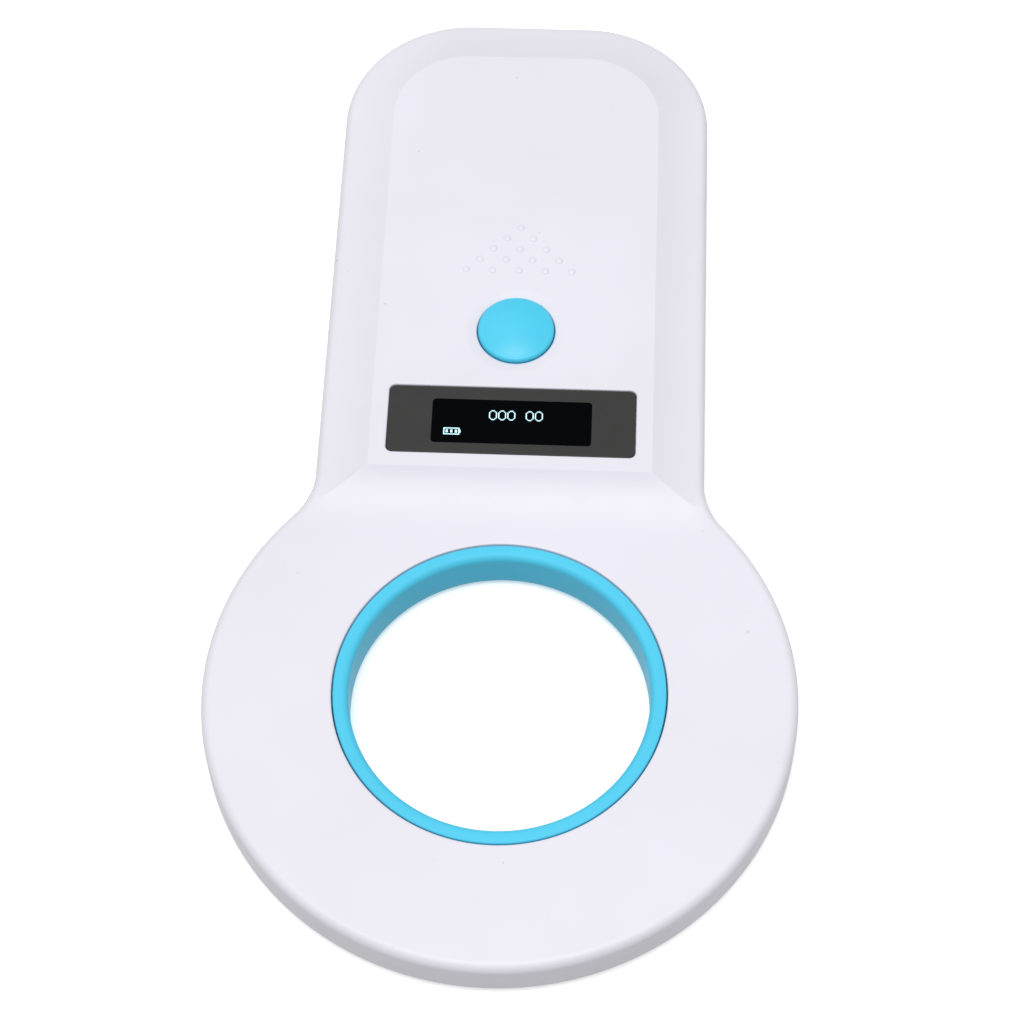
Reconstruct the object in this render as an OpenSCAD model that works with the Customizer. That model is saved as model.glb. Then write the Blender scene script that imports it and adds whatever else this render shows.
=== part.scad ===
// Handheld reader for the microchips carried by pets: a flat antenna ring with a raised handle.
// The origin is under the middle of the body, +Y runs from the ring to the handle's end, +Z is up.

/* [Body] */
// Overall length, from the ring's near edge to the handle's end
body_l = 167.5; // [155:0.5:205]
// Outside diameter of the antenna ring
ring_d = 87; // [84:0.5:105]
// Thickness of the ring, and height of the handle's rim
ring_t = 8; // [7.8:0.1:9.6]
// Width of the handle
handle_w = 59; // [56:0.5:72]
// Radius of the handle's two end corners, seen from above
corner_r = 20; // [14:0.5:24]
// Radius of the hollow curve where the handle meets the ring
neck_r = 9.5; // [6:0.5:12]
// Radius along the body's upper edge
top_edge_r = 1.4; // [0.8:0.1:1.6]
// Radius along the body's lower edge
bottom_edge_r = 2; // [1:0.1:2.2]

/* [Raised panel] */
// Height of the panel above the ring
panel_h = 3; // [2.8:0.1:4]
// Width of the slope along each side of the panel
side_slope_w = 8; // [6:0.5:9]
// Width of the slope at the handle's end
end_slope_w = 8.8; // [6:0.2:10]
// Distance from the ring's centre to the panel's front crease
panel_front = 36; // [35:0.5:37]
// Radius of the hollow slope that runs down to the ring
front_slope_r = 16.6; // [10:0.2:17]

/* [Walls] */
// Thickness of the upper shell's roof
roof_t = 1.6; // [1.4:0.1:1.8]
// Thickness of the lower shell's floor
floor_t = 1.6; // [1.4:0.1:1.8]
// Thickness of the side walls
wall_t = 1.8; // [1.5:0.1:2]
// Height of the seam between the two shells
seam_z = 0.8; // [0.5:0.1:1]
// Gap between the upper shell's wall and the lower shell's tongue
shell_gap = 0.15; // [0.1:0.05:0.3]
// Width and height of the tongue that stands on the floor inside the wall
tongue_t = 1; // [0.8:0.1:1.2]

/* [Ring liner] */
// Diameter of the hole through the ring
liner_bore_d = 44; // [36:0.5:45]
// Thickness of the liner's wall
liner_wall = 2.3; // [1.8:0.1:2.6]
// Gap between the liner and the shells
liner_gap = 0.2; // [0.1:0.05:0.3]
// Radius at the upper end of the hole
liner_top_r = 0.5; // [0.3:0.1:0.8]
// Radius at the lower end of the hole
liner_bottom_r = 1.8; // [0.5:0.1:2]
// How far the liner's flange stands out, between the shells' collars
flange_w = 1.3; // [1:0.1:1.5]
// Thickness of the flange
flange_t = 1.4; // [1:0.1:1.6]
// Thickness of the collars round the liner
collar_t = 1.6; // [1.4:0.1:1.8]

/* [Antenna] */
// Width of the winding, across its turns
coil_w = 5.5; // [4:0.1:6]
// Height of the winding
coil_h = 4; // [3:0.1:4.2]
// Gap between the winding and the collar round the liner
coil_gap = 0.9; // [0.5:0.1:1]
// Diameter of each end of the winding
lead_d = 0.5; // [0.3:0.1:0.6]
// Distance between the two ends of the winding
lead_pitch = 4; // [3:0.5:6]

/* [Button] */
// Diameter of the button
button_d = 11.8; // [10:0.1:14.2]
// Distance from the ring's centre to the button
button_y = 61.2; // [61:0.1:63]
// Gap round the button
button_gap = 0.2; // [0.15:0.05:0.3]
// How far the button's edge stands above the panel
button_rise = 0.2; // [0:0.1:0.6]
// Height of the button's dome above its edge
button_crown = 1.1; // [0.5:0.1:1.6]
// How far the button travels when pressed
button_travel = 0.3; // [0.2:0.05:0.35]
// Thickness of the button's wall and top
button_wall = 1.2; // [1:0.1:1.4]
// How far the button's flange stands out under the roof
button_flange_w = 1; // [0.6:0.1:1.2]
// Thickness of the button's flange
button_flange_t = 0.8; // [0.6:0.1:0.9]
// Diameter of the stem that presses the switch
stem_d = 3.2; // [2.4:0.1:3.4]
// Diameter of the shallow dish round the button
dish_d = 16; // [15:0.5:20]
// Depth of the dish at the button's hole
dish_depth = 0.3; // [0.1:0.05:0.4]

/* [Raised dots] */
// Rows of dots in the triangle above the button
dot_rows = 5; // [3:1:5]
// Distance between the dots in a row
dot_pitch = 4.15; // [3:0.05:4.4]
// Distance between two rows
dot_row_pitch = 2.07; // [1.5:0.01:2.2]
// Distance from the ring's centre to the longest row
dot_base_y = 72.4; // [72:0.1:75]
// Diameter of a dot
dot_d = 1.2; // [0.8:0.1:1.4]
// Height of a dot
dot_h = 0.25; // [0.15:0.05:0.4]

/* [Display] */
// Width of the dark window
window_w = 37.7; // [31.4:0.1:39]
// Height of the dark window, along the body
window_h = 11.9; // [11.5:0.1:12.2]
// Radius of the window's corners
window_r = 1; // [0.5:0.1:1.5]
// Distance from the ring's centre to the middle of the window
window_y = 44.5; // [44.3:0.1:45]
// Thickness of the window
window_t = 1; // [0.8:0.1:1.1]
// How far the window sits below the panel
window_recess = 0.2; // [0.1:0.05:0.3]
// Gap round the window
window_gap = 0.1; // [0.05:0.05:0.2]
// Width of the ledge that holds the window
ledge_w = 1.8; // [1.5:0.1:2]
// Thickness of the ledge
ledge_t = 0.65; // [0.5:0.05:0.7]
// Thickness of the tape that holds the window
tape_t = 0.15; // [0.1:0.05:0.2]
// Length of the display panel's glass
glass_w = 30; // [29:0.1:30.5]
// Width of the display panel's glass
glass_h = 11.5; // [11:0.1:11.6]
// Thickness of the display panel
glass_t = 1.45; // [1.2:0.05:1.5]
// How far the glass is set to one side, so that its picture is in the middle
glass_shift = 1.7; // [0:0.1:1.8]
// Distance from the ring's centre to the middle of the picture
picture_y = 44.9; // [44.7:0.1:45]
// Gap between the glass and the ledge
glass_gap = 0.1; // [0.05:0.05:0.2]
// Thickness of the foam under the glass
glass_foam_t = 0.5; // [0.3:0.1:0.8]
// Thickness of the holder's rim round the glass
holder_rim = 0.6; // [0.5:0.1:0.6]

/* [Board] */
// Thickness of the circuit board
board_t = 1.2; // [0.8:0.1:1.6]
// Space under the board
board_gap = 1; // [0.9:0.1:1.1]
// Space between the winding and the board
board_front_gap = 1.3; // [1:0.1:1.5]
// Width of the board's narrow end, behind the charging socket
board_tail_w = 22; // [16:0.5:24]
// Length of the board's narrow end
board_tail_l = 9; // [8:0.5:10]
// Space between the board's end and the wall
board_end_gap = 1; // [0.5:0.1:1.5]
// Distance from the board's edges to its screws
board_screw_inset = 2.2; // [2.1:0.1:2.4]

/* [Battery] */
// Width of the battery
battery_w = 35; // [25:0.5:36]
// Thickness of the battery
battery_t = 5; // [3.5:0.1:5.2]
// Space between the button's middle and the battery
battery_front_gap = 9.3; // [8:0.1:12]
// Space kept behind the battery for the plug, the buzzer and the charging socket
battery_back_gap = 24; // [23:0.5:30]
// Thickness of the tape under the battery
battery_tape_t = 0.3; // [0.1:0.05:0.3]
// Diameter of the battery's two wires
battery_wire_d = 1; // [0.6:0.1:1.2]

/* [Switch and buzzer] */
// Width of the switch's square case
switch_w = 6; // [5:0.1:6.2]
// Height of the switch's case
switch_h = 3.5; // [3:0.1:3.8]
// Diameter of the switch's plunger
plunger_d = 3.4; // [2.8:0.1:3.5]
// Gap round the plunger
plunger_gap = 0.05; // [0.02:0.01:0.08]
// Gap between the button's stem and the plunger
stem_gap = 0.02; // [0.01:0.01:0.05]
// Depth of the plunger's seat in the switch
plunger_seat = 1; // [0.8:0.1:1.2]
// Width of the buzzer
buzzer_w = 8.5; // [7:0.1:9]
// Height of the buzzer
buzzer_h = 3; // [2.5:0.1:3.2]
// Diameter of the buzzer's sound hole
buzzer_hole_d = 2; // [1:0.1:3]

/* [Charging socket] */
// Width of the socket
usb_w = 7.5; // [7:0.1:8]
// Height of the socket
usb_h = 2.5; // [2.3:0.1:2.6]
// Depth of the socket
usb_l = 5.6; // [5:0.1:6]
// Thickness of the socket's metal
usb_wall = 0.3; // [0.2:0.05:0.35]
// How far the socket's mouth sits inside the handle's end
usb_recess = 1; // [0.8:0.1:1.5]
// Gap round the socket in the wall
usb_gap = 0.3; // [0.2:0.05:0.3]

/* [Screws] */
// Diameter of the shell screws' thread
screw_d = 2; // [1.8:0.1:2]
// Diameter of the shell screws' heads
screw_head_d = 3.7; // [3.4:0.1:3.7]
// Thickness of the shell screws' heads
screw_head_t = 1.2; // [1:0.1:1.2]
// How far the heads sit inside the floor
screw_recess = 0.3; // [0.2:0.1:0.4]
// Gap round the screws' threads and heads
screw_gap = 0.1; // [0.05:0.05:0.15]
// Diameter of the bosses that take the shell screws
boss_d = 5; // [4.6:0.1:5.2]
// Height of the joint between the upper and lower bosses
boss_joint_z = 3.6; // [3.2:0.1:4]
// Distance from the handle's side to its screws
handle_screw_inset = 6.3; // [6:0.1:6.5]
// Distance from the ring's centre to the handle's front screws
handle_screw_front = 44; // [42:0.5:46]
// Distance from the handle's end to its back screws
handle_screw_back = 24; // [22:0.5:28]
// Angles of the ring's screws
ring_screw_angles = [-15, -90, -165];
// Diameter of the board screws' thread
board_screw_d = 1.6; // [1.4:0.1:1.8]
// Diameter of the board screws' heads
board_screw_head_d = 3; // [2.6:0.1:3.4]
// Thickness of the board screws' heads
board_screw_head_t = 0.8; // [0.6:0.1:0.85]
// Diameter of the bosses that take the board screws
board_boss_d = 4; // [3.6:0.1:4.2]

/* [Hidden] */
$fn = 96;
hull_fn = 32;
edge_steps = 3;
curve_steps = 8;
eps = 0.01;
cut = 1;
weld = 0.4;

ring_r = ring_d / 2;
handle_half = handle_w / 2;
end_y = body_l / 2;
ring_y = ring_r - end_y;
panel_top = ring_t + panel_h;
panel_front_y = ring_y + panel_front;
inner_r = ring_r - wall_t;
roof_z = ring_t - roof_t;
panel_roof_z = panel_top - roof_t;

liner_r = liner_bore_d / 2 + liner_wall;
liner_hole_r = liner_r + liner_gap;
collar_r = liner_hole_r + collar_t;
flange_z = (ring_t - flange_t) / 2;
flange_fit = 0.05;
coil_inner_r = collar_r + coil_gap;
coil_outer_r = coil_inner_r + coil_w;
coil_z = floor_t;

board_z = floor_t + board_gap;
board_top = board_z + board_t;
board_side_gap = 0.7;
board_w = handle_w - 2 * handle_screw_inset - boss_d - 2 * board_side_gap;
board_front_y = ring_y + coil_outer_r + board_front_gap;
board_end_y = end_y - wall_t - board_end_gap;
board_wide_end_y = board_end_y - board_tail_l;
board_screw_shift = 0.8;
board_screw_x = board_w / 2 - board_screw_inset - board_screw_shift;
board_screw_ys = [board_front_y + board_screw_inset, board_wide_end_y - board_screw_inset];

button_mid_y = ring_y + button_y;
button_edge_z = panel_top + button_rise;
button_play = 0.1;
button_flange_top = panel_roof_z - button_play;
switch_top = board_top + switch_h;
plunger_rise = 0.8;
plunger_top = switch_top + plunger_rise;
plunger_bottom = switch_top - plunger_seat + button_travel + button_play;
stem_bottom = plunger_top + stem_gap;

window_mid_y = ring_y + window_y;
window_top = panel_top - window_recess;
window_bottom = window_top - window_t;
ledge_top = window_bottom - tape_t;
ledge_bottom = ledge_top - ledge_t;
picture_mid_y = ring_y + picture_y;
glass_top = ledge_bottom - glass_gap;
glass_bottom = glass_top - glass_t;
foam_bottom = glass_bottom - glass_foam_t;
holder_gap = 0.1;
ribbon_bend = 1.3;
ribbon_bend_x = glass_shift + glass_w / 2 + ribbon_bend;
holder_w = glass_w + 2 * (holder_gap + holder_rim);
holder_h = glass_h + 2 * (holder_gap + holder_rim);

battery_y0 = button_mid_y + battery_front_gap;
battery_y1 = end_y - battery_back_gap;
battery_z = board_top + battery_tape_t;
plug_x = -10.5;
plug_size = [6, 3.2, 3];
plug_gap = 3.4;
plug_lift = 0.1;
plug_y = battery_y1 + plug_gap;
header_size = [7, 3.4, 3.4];
header_y = plug_y + plug_size[1];
wire_pitch = 2;
wire_lift = 1.6;
wire_z = battery_z + wire_lift;

chip_x = 13.4;
leg_pitch = 1.27;
// Sizes and spacing of the small parts on the board.
coil_capacitor = [2, 3, 1.2];
small_capacitor = [0.8, 1.6, 0.8];
small_resistor = [0.8, 1.6, 0.45];
small_pitch = 1.6;
back_row_y = board_wide_end_y + 2.2;

usb_mouth_y = end_y - usb_recess;
usb_z = board_top;
usb_back_t = 0.8;
slot_w = usb_w + 2 * usb_gap;
slot_z0 = usb_z - usb_gap;
slot_z1 = usb_z + usb_h + usb_gap;

head_seat_z = screw_recess + screw_head_t;
tip_gap = 0.1;
screw_tip_z = roof_z - tip_gap;
pilot_top_z = roof_z + tip_gap;
handle_boss_gap = 0.2;
handle_boss_top = panel_roof_z - handle_boss_gap;
handle_screw_x = handle_half - handle_screw_inset;
ring_boss_gap = 0.4;
ring_screw_r = inner_r - boss_d / 2 - ring_boss_gap;
ring_screws = [for (a = ring_screw_angles) [ring_screw_r * cos(a), ring_y + ring_screw_r * sin(a)]];
handle_screws = [for (x = [-1, 1], y = [ring_y + handle_screw_front, end_y - handle_screw_back])
    [x * handle_screw_x, y]];
board_screws_at = [for (x = [-1, 1], y = board_screw_ys) [x * board_screw_x, y]];

shell_colour = [0.93, 0.92, 0.95];
cyan_colour = [0.38, 0.84, 0.96];
board_colour = [0.08, 0.35, 0.2];
chip_colour = [0.09, 0.09, 0.1];
steel_colour = [0.72, 0.73, 0.75];
copper_colour = [0.72, 0.4, 0.2];

function arc(cx, cy, r, a0, a1, steps) = [for (i = [0:steps])
    let (a = a0 + (a1 - a0) * i / steps) [cx + r * cos(a), cy + r * sin(a)]];

// Half of the body's section: flat faces with a rounded upper and lower edge.
module edge_section(half_w) {
    polygon(concat(
        [[0, 0]],
        arc(half_w - bottom_edge_r, bottom_edge_r, bottom_edge_r, -90, 0, edge_steps),
        arc(half_w - top_edge_r, ring_t - top_edge_r, top_edge_r, 0, 90, edge_steps),
        [[0, ring_t]]));
}

// The handle's rim: two straight sides, two corners and the end between them.
module handle_slab() {
    straight = end_y - corner_r - ring_y;
    for (side = [0, 1]) mirror([side, 0, 0]) {
        translate([0, end_y - corner_r, 0]) rotate([90, 0, 0])
            linear_extrude(straight) edge_section(handle_half);
        translate([handle_half - corner_r, end_y - corner_r, 0])
            rotate_extrude(angle = 90) edge_section(corner_r);
    }
    translate([corner_r - handle_half, end_y - corner_r, 0]) rotate([90, 0, 90])
        linear_extrude(handle_w - 2 * corner_r) edge_section(corner_r);
}

// One hollow corner where the handle's side meets the ring, drawn inset from the outline.
module neck_corner(inset, z0, z1) {
    nx = handle_half + neck_r;
    ny = sqrt(pow(ring_r + neck_r, 2) - nx * nx);
    turn = atan2(ny, nx);
    curve = arc(nx, ring_y + ny, neck_r + inset, 180, 180 + turn, curve_steps);
    low_y = curve[curve_steps][1];
    translate([0, 0, z0]) linear_extrude(z1 - z0)
        polygon(concat(curve, [[handle_half / 2, low_y - neck_r], [handle_half / 2, ring_y + ny]]));
}

module neck() {
    for (side = [0, 1]) mirror([side, 0, 0]) {
        neck_corner(bottom_edge_r, 0, bottom_edge_r);
        neck_corner(0, bottom_edge_r, ring_t - top_edge_r);
        neck_corner(top_edge_r, ring_t - top_edge_r, ring_t);
    }
}

// A flat outline with two round corners at the handle's end.
module handle_outline(half_w, front, back, r) {
    translate([-half_w, front]) square([2 * half_w, back - r - front]);
    translate([r - half_w, back - r]) square([2 * (half_w - r), r]);
    for (x = [-1, 1]) translate([x * (half_w - r), back - r]) circle(r);
}

// A block whose sides slope in from one handle outline up to another.
module sloped_block(low, high, front) {
    hull() {
        translate([0, 0, low[0]]) linear_extrude(eps)
            handle_outline(low[1], front, low[2], low[3], $fn = hull_fn);
        translate([0, 0, high[0] - eps]) linear_extrude(eps)
            handle_outline(high[1], front, high[2], high[3], $fn = hull_fn);
    }
}

// The raised panel, cut away at the front by a hollow slope that runs out onto the ring.
module raised_panel() {
    rim = 0.4;
    rim_drop = top_edge_r - sqrt(pow(top_edge_r, 2) - pow(top_edge_r - rim, 2));
    run = sqrt(pow(front_slope_r, 2) - pow(front_slope_r - panel_h, 2));
    start_y = panel_front_y - run;
    rise = asin(run / front_slope_r);
    reach = ring_r;
    slope = arc(start_y, ring_t + front_slope_r, front_slope_r, -90, rise - 90, curve_steps);
    difference() {
        sloped_block([ring_t - rim_drop, handle_half - rim, end_y - rim, corner_r - rim],
            [panel_top, handle_half - side_slope_w, end_y - end_slope_w, corner_r - side_slope_w],
            start_y - 2 * neck_r);
        translate([-reach, 0, 0]) rotate([90, 0, 90]) linear_extrude(2 * reach)
            polygon(concat([[start_y - 3 * neck_r, ring_t]], slope,
                [[panel_front_y, panel_top + panel_h], [start_y - 3 * neck_r, panel_top + panel_h]]));
    }
}

module body_form() {
    translate([0, ring_y, 0]) rotate_extrude() edge_section(ring_r);
    handle_slab();
    neck();
}

module body_outline(inset) {
    translate([0, ring_y]) circle(ring_r - inset);
    handle_outline(handle_half - inset, ring_y, end_y - inset, corner_r - inset);
}

module cavity() {
    low_inset = wall_t + 0.4;
    high_inset = 0.6;
    front_wall = 1.5;
    translate([0, 0, -eps]) linear_extrude(roof_z + eps) body_outline(wall_t);
    sloped_block([roof_z - eps, handle_half - low_inset, end_y - low_inset, corner_r - low_inset],
        [panel_roof_z, handle_half - side_slope_w - high_inset, end_y - end_slope_w - high_inset,
            corner_r - side_slope_w - high_inset],
        panel_front_y + front_wall);
}

module collar(z0, z1) {
    translate([0, ring_y, z0]) difference() {
        cylinder(h = z1 - z0, r = collar_r);
        translate([0, 0, -cut]) cylinder(h = z1 - z0 + 2 * cut, r = liner_hole_r);
    }
}

module rounded_plate(size, r) {
    linear_extrude(size[2]) union() {
        square([size[0] - 2 * r, size[1]], center = true);
        square([size[0], size[1] - 2 * r], center = true);
        for (x = [-1, 1], y = [-1, 1])
            translate([x * (size[0] / 2 - r), y * (size[1] / 2 - r)]) circle(r);
    }
}

module raised_dots() {
    for (row = [0:dot_rows - 1], i = [0:row]) {
        x = (i - row / 2) * dot_pitch;
        y = ring_y + dot_base_y + (dot_rows - 1 - row) * dot_row_pitch;
        translate([x, y, panel_top - eps])
            cylinder(h = dot_h + eps, r1 = dot_d / 2, r2 = dot_d / 4, $fn = hull_fn);
    }
}

module top_shell() {
    frame_border = 1.4;
    frame_size = [window_w + 2 * frame_border, window_h + 2 * frame_border,
        panel_roof_z - ledge_bottom + weld];
    board_pilot = 3;
    color(shell_colour) difference() {
        union() {
            difference() {
                union() {
                    body_form();
                    raised_panel();
                }
                cavity();
                translate([-body_l, -body_l, -body_l]) cube([2 * body_l, 2 * body_l, body_l + seam_z]);
            }
            collar(flange_z + flange_t + flange_fit, roof_z + eps);
            translate([0, window_mid_y, ledge_bottom]) rounded_plate(frame_size, window_r);
            for (p = ring_screws) translate([p[0], p[1], boss_joint_z])
                cylinder(h = roof_z + weld - boss_joint_z, d = boss_d);
            for (p = handle_screws) translate([p[0], p[1], boss_joint_z])
                cylinder(h = handle_boss_top - boss_joint_z, d = boss_d);
            for (p = board_screws_at) translate([p[0], p[1], board_top])
                cylinder(h = panel_roof_z + weld - board_top, d = board_boss_d);
            raised_dots();
        }
        translate([0, ring_y, -cut]) cylinder(h = ring_t + 2 * cut, r = liner_hole_r);
        translate([0, button_mid_y, ring_t - cut])
            cylinder(h = panel_h + 2 * cut, d = button_d + 2 * button_gap);
        translate([0, button_mid_y, panel_top - dish_depth])
            cylinder(h = dish_depth + eps, d1 = button_d + 2 * button_gap, d2 = dish_d);
        translate([0, window_mid_y, ledge_top])
            rounded_plate([window_w + 2 * window_gap, window_h + 2 * window_gap, panel_h],
                window_r + window_gap);
        translate([0, window_mid_y, ledge_bottom - cut])
            rounded_plate([window_w - 2 * ledge_w, window_h - 2 * ledge_w, panel_h], window_r);
        for (p = concat(ring_screws, handle_screws)) translate([p[0], p[1], boss_joint_z - cut])
            cylinder(h = pilot_top_z - boss_joint_z + cut, d = screw_d + 2 * screw_gap);
        for (p = board_screws_at) translate([p[0], p[1], board_top - cut])
            cylinder(h = board_pilot + cut, d = board_screw_d + 2 * screw_gap);
        translate([-slot_w / 2, end_y - wall_t - cut, slot_z0])
            cube([slot_w, wall_t + 2 * cut, slot_z1 - slot_z0]);
    }
}

module bottom_shell() {
    fit = wall_t + shell_gap;
    tongue_h = 0.8;
    boss_foot_z = 0.5;
    color(shell_colour) difference() {
        union() {
            difference() {
                body_form();
                translate([-body_l, -body_l, seam_z]) cube([2 * body_l, 2 * body_l, ring_t]);
            }
            translate([0, 0, seam_z - eps]) linear_extrude(floor_t - seam_z + eps) body_outline(fit);
            translate([0, 0, floor_t - eps]) linear_extrude(tongue_h) difference() {
                body_outline(fit);
                body_outline(fit + tongue_t);
            }
            collar(0, flange_z - flange_fit);
            for (p = concat(ring_screws, handle_screws)) translate([p[0], p[1], boss_foot_z])
                cylinder(h = boss_joint_z - boss_foot_z, d = boss_d);
        }
        translate([0, ring_y, -cut]) cylinder(h = ring_t + 2 * cut, r = liner_hole_r);
        for (p = concat(ring_screws, handle_screws)) translate([p[0], p[1], -cut]) {
            cylinder(h = boss_joint_z + 2 * cut, d = screw_d + 2 * screw_gap);
            cylinder(h = head_seat_z + cut, d = screw_head_d + 2 * screw_gap);
        }
    }
}

module ring_liner() {
    bore_r = liner_bore_d / 2;
    color(cyan_colour) translate([0, ring_y, 0]) rotate_extrude() difference() {
        union() {
            translate([bore_r, 0]) square([liner_wall, ring_t]);
            translate([bore_r, flange_z]) square([liner_wall + liner_gap + flange_w, flange_t]);
        }
        difference() {
            translate([bore_r - cut, -cut]) square([liner_bottom_r + cut, liner_bottom_r + cut]);
            translate([bore_r + liner_bottom_r, liner_bottom_r]) circle(liner_bottom_r);
        }
        difference() {
            translate([bore_r - cut, ring_t - liner_top_r]) square([liner_top_r + cut, liner_top_r + cut]);
            translate([bore_r + liner_top_r, ring_t - liner_top_r]) circle(liner_top_r);
        }
    }
}

module antenna_coil() {
    color(copper_colour) translate([0, ring_y, coil_z]) difference() {
        cylinder(h = coil_h, r = coil_outer_r);
        translate([0, 0, -cut]) cylinder(h = coil_h + 2 * cut, r = coil_inner_r);
    }
}

module coil_leads() {
    pad_d = 1.6;
    lead_reach = 1.4;
    lead_gap = 0.05;
    solder_h = 0.6;
    lead_z = board_top + lead_d / 2;
    lead_start_y = ring_y + sqrt(pow(coil_outer_r, 2) - pow(lead_pitch / 2, 2)) + lead_gap;
    color(copper_colour) for (x = [-1, 1]) translate([x * lead_pitch / 2, 0, 0]) {
        translate([0, lead_start_y, lead_z]) rotate([-90, 0, 0])
            cylinder(h = board_front_y + lead_reach - lead_start_y, d = lead_d);
        translate([0, board_front_y + lead_reach, board_top])
            cylinder(h = solder_h, d1 = pad_d, d2 = pad_d / 2);
    }
}

module button_cap() {
    button_r = button_d / 2;
    dome_r = (pow(button_r, 2) + pow(button_crown, 2)) / (2 * button_crown);
    low_z = button_flange_top - button_flange_t;
    color(cyan_colour) translate([0, button_mid_y, 0]) {
        difference() {
            union() {
                translate([0, 0, low_z]) cylinder(h = button_edge_z - low_z, r = button_r);
                translate([0, 0, low_z]) cylinder(h = button_flange_t, r = button_r + button_flange_w);
                intersection() {
                    translate([0, 0, button_edge_z + button_crown - dome_r]) sphere(dome_r);
                    translate([0, 0, button_edge_z - eps]) cylinder(h = button_crown + cut, r = button_r);
                }
            }
            translate([0, 0, low_z - cut])
                cylinder(h = button_edge_z - button_wall - low_z + cut, r = button_r - button_wall);
        }
        translate([0, 0, stem_bottom]) cylinder(h = button_edge_z - button_wall / 2 - stem_bottom, d = stem_d);
    }
}

module window_tape() {
    hole = [window_w - 2 * ledge_w, window_h - 2 * ledge_w, 1];
    color([0.1, 0.1, 0.1]) translate([0, window_mid_y, ledge_top]) difference() {
        rounded_plate([window_w, window_h, tape_t], window_r);
        translate([0, 0, -hole[2] / 2]) rounded_plate(hole, window_r);
    }
}

module display_window() {
    color([0.25, 0.25, 0.25]) translate([0, window_mid_y, window_bottom])
        rounded_plate([window_w, window_h, window_t], window_r);
}

module display_glass() {
    color([0.05, 0.05, 0.08]) translate([glass_shift - glass_w / 2, picture_mid_y - glass_h / 2, glass_bottom])
        cube([glass_w, glass_h, glass_t]);
}

module display_foam() {
    color([0.2, 0.2, 0.2]) translate([glass_shift - glass_w / 2, picture_mid_y - glass_h / 2, foam_bottom])
        cube([glass_w, glass_h, glass_foam_t]);
}

module display_holder() {
    ribbon_slot = [5, 8];
    slot_start = 3;
    rim_drop = 0.4;
    shelf_w = 1.5;
    color([0.15, 0.15, 0.16]) translate([glass_shift, picture_mid_y, 0]) difference() {
        translate([-holder_w / 2, -holder_h / 2, board_top])
            cube([holder_w, holder_h, glass_top - board_top - rim_drop]);
        translate([-glass_w / 2 - holder_gap, -glass_h / 2 - holder_gap, foam_bottom])
            cube([glass_w + 2 * holder_gap, glass_h + 2 * holder_gap, glass_t + 2 * cut]);
        translate([shelf_w - glass_w / 2, shelf_w - glass_h / 2, board_top - cut])
            cube([glass_w - 2 * shelf_w, glass_h - 2 * shelf_w, foam_bottom - board_top]);
        translate([glass_w / 2 - slot_start, -ribbon_slot[1] / 2, board_top - cut])
            cube([ribbon_slot[0], ribbon_slot[1], glass_top]);
    }
}

module display_ribbon() {
    ribbon_w = 6;
    ribbon_t = 0.2;
    ribbon_tail = 3.4;
    ribbon_x = glass_shift + glass_w / 2;
    ribbon_z = glass_bottom + 0.3;
    tail_z = board_top + 0.5;
    color([0.75, 0.45, 0.1]) translate([0, picture_mid_y - ribbon_w / 2, 0]) {
        translate([ribbon_x, 0, ribbon_z]) cube([ribbon_bend_x - ribbon_x, ribbon_w, ribbon_t]);
        translate([ribbon_bend_x - ribbon_t, 0, tail_z]) cube([ribbon_t, ribbon_w, ribbon_z + ribbon_t - tail_z]);
        translate([ribbon_bend_x - ribbon_tail, 0, tail_z]) cube([ribbon_tail, ribbon_w, ribbon_t]);
    }
}

module ribbon_connector() {
    size = [3.4, 7.2, 1.2];
    mouth = [3, 6.2, 0.3];
    mouth_at = [1.2, 0.5, 0.45];
    from_bend = 5.6;
    color([0.85, 0.83, 0.78])
        translate([ribbon_bend_x - from_bend, picture_mid_y - size[1] / 2, board_top]) difference() {
            cube(size);
            translate(mouth_at) cube(mouth);
        }
}

module main_board() {
    color(board_colour) difference() {
        union() {
            translate([-board_w / 2, board_front_y, board_z])
                cube([board_w, board_wide_end_y - board_front_y, board_t]);
            translate([-board_tail_w / 2, board_wide_end_y - eps, board_z])
                cube([board_tail_w, board_tail_l + eps, board_t]);
        }
        for (p = board_screws_at) translate([p[0], p[1], board_z - cut])
            cylinder(h = board_t + 2 * cut, d = board_screw_d + 2 * screw_gap);
    }
}

module switch_case() {
    leg = [0.7, 1.6, 0.3];
    leg_x = 2.2;
    color([0.12, 0.12, 0.13]) translate([0, button_mid_y, board_top]) {
        difference() {
            translate([-switch_w / 2, -switch_w / 2, 0]) cube([switch_w, switch_w, switch_h]);
            translate([0, 0, switch_h - plunger_seat])
                cylinder(h = plunger_seat + cut, d = plunger_d + 2 * plunger_gap);
        }
        for (x = [-1, 1], y = [-1, 1])
            translate([x * leg_x - leg[0] / 2, y > 0 ? switch_w / 2 : -switch_w / 2 - leg[1], 0]) cube(leg);
    }
}

module switch_plunger() {
    color([0.85, 0.84, 0.8]) translate([0, button_mid_y, plunger_bottom])
        cylinder(h = plunger_top - plunger_bottom, d = plunger_d);
}

module battery() {
    color([0.7, 0.71, 0.73]) translate([-battery_w / 2, battery_y0, battery_z])
        cube([battery_w, battery_y1 - battery_y0, battery_t]);
}

module battery_tape() {
    tape_w = 12;
    tape_x = 10;
    margin = 3;
    color([0.9, 0.9, 0.88]) for (x = [-1, 1])
        translate([x * tape_x - tape_w / 2, battery_y0 + margin, board_top])
            cube([tape_w, battery_y1 - battery_y0 - 2 * margin, battery_tape_t]);
}

module battery_wires() {
    color([0.75, 0.1, 0.1]) for (x = [-1, 1])
        translate([plug_x + x * wire_pitch / 2, battery_y1, wire_z]) rotate([-90, 0, 0])
            cylinder(h = plug_y - battery_y1, d = battery_wire_d, $fn = hull_fn);
}

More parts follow.
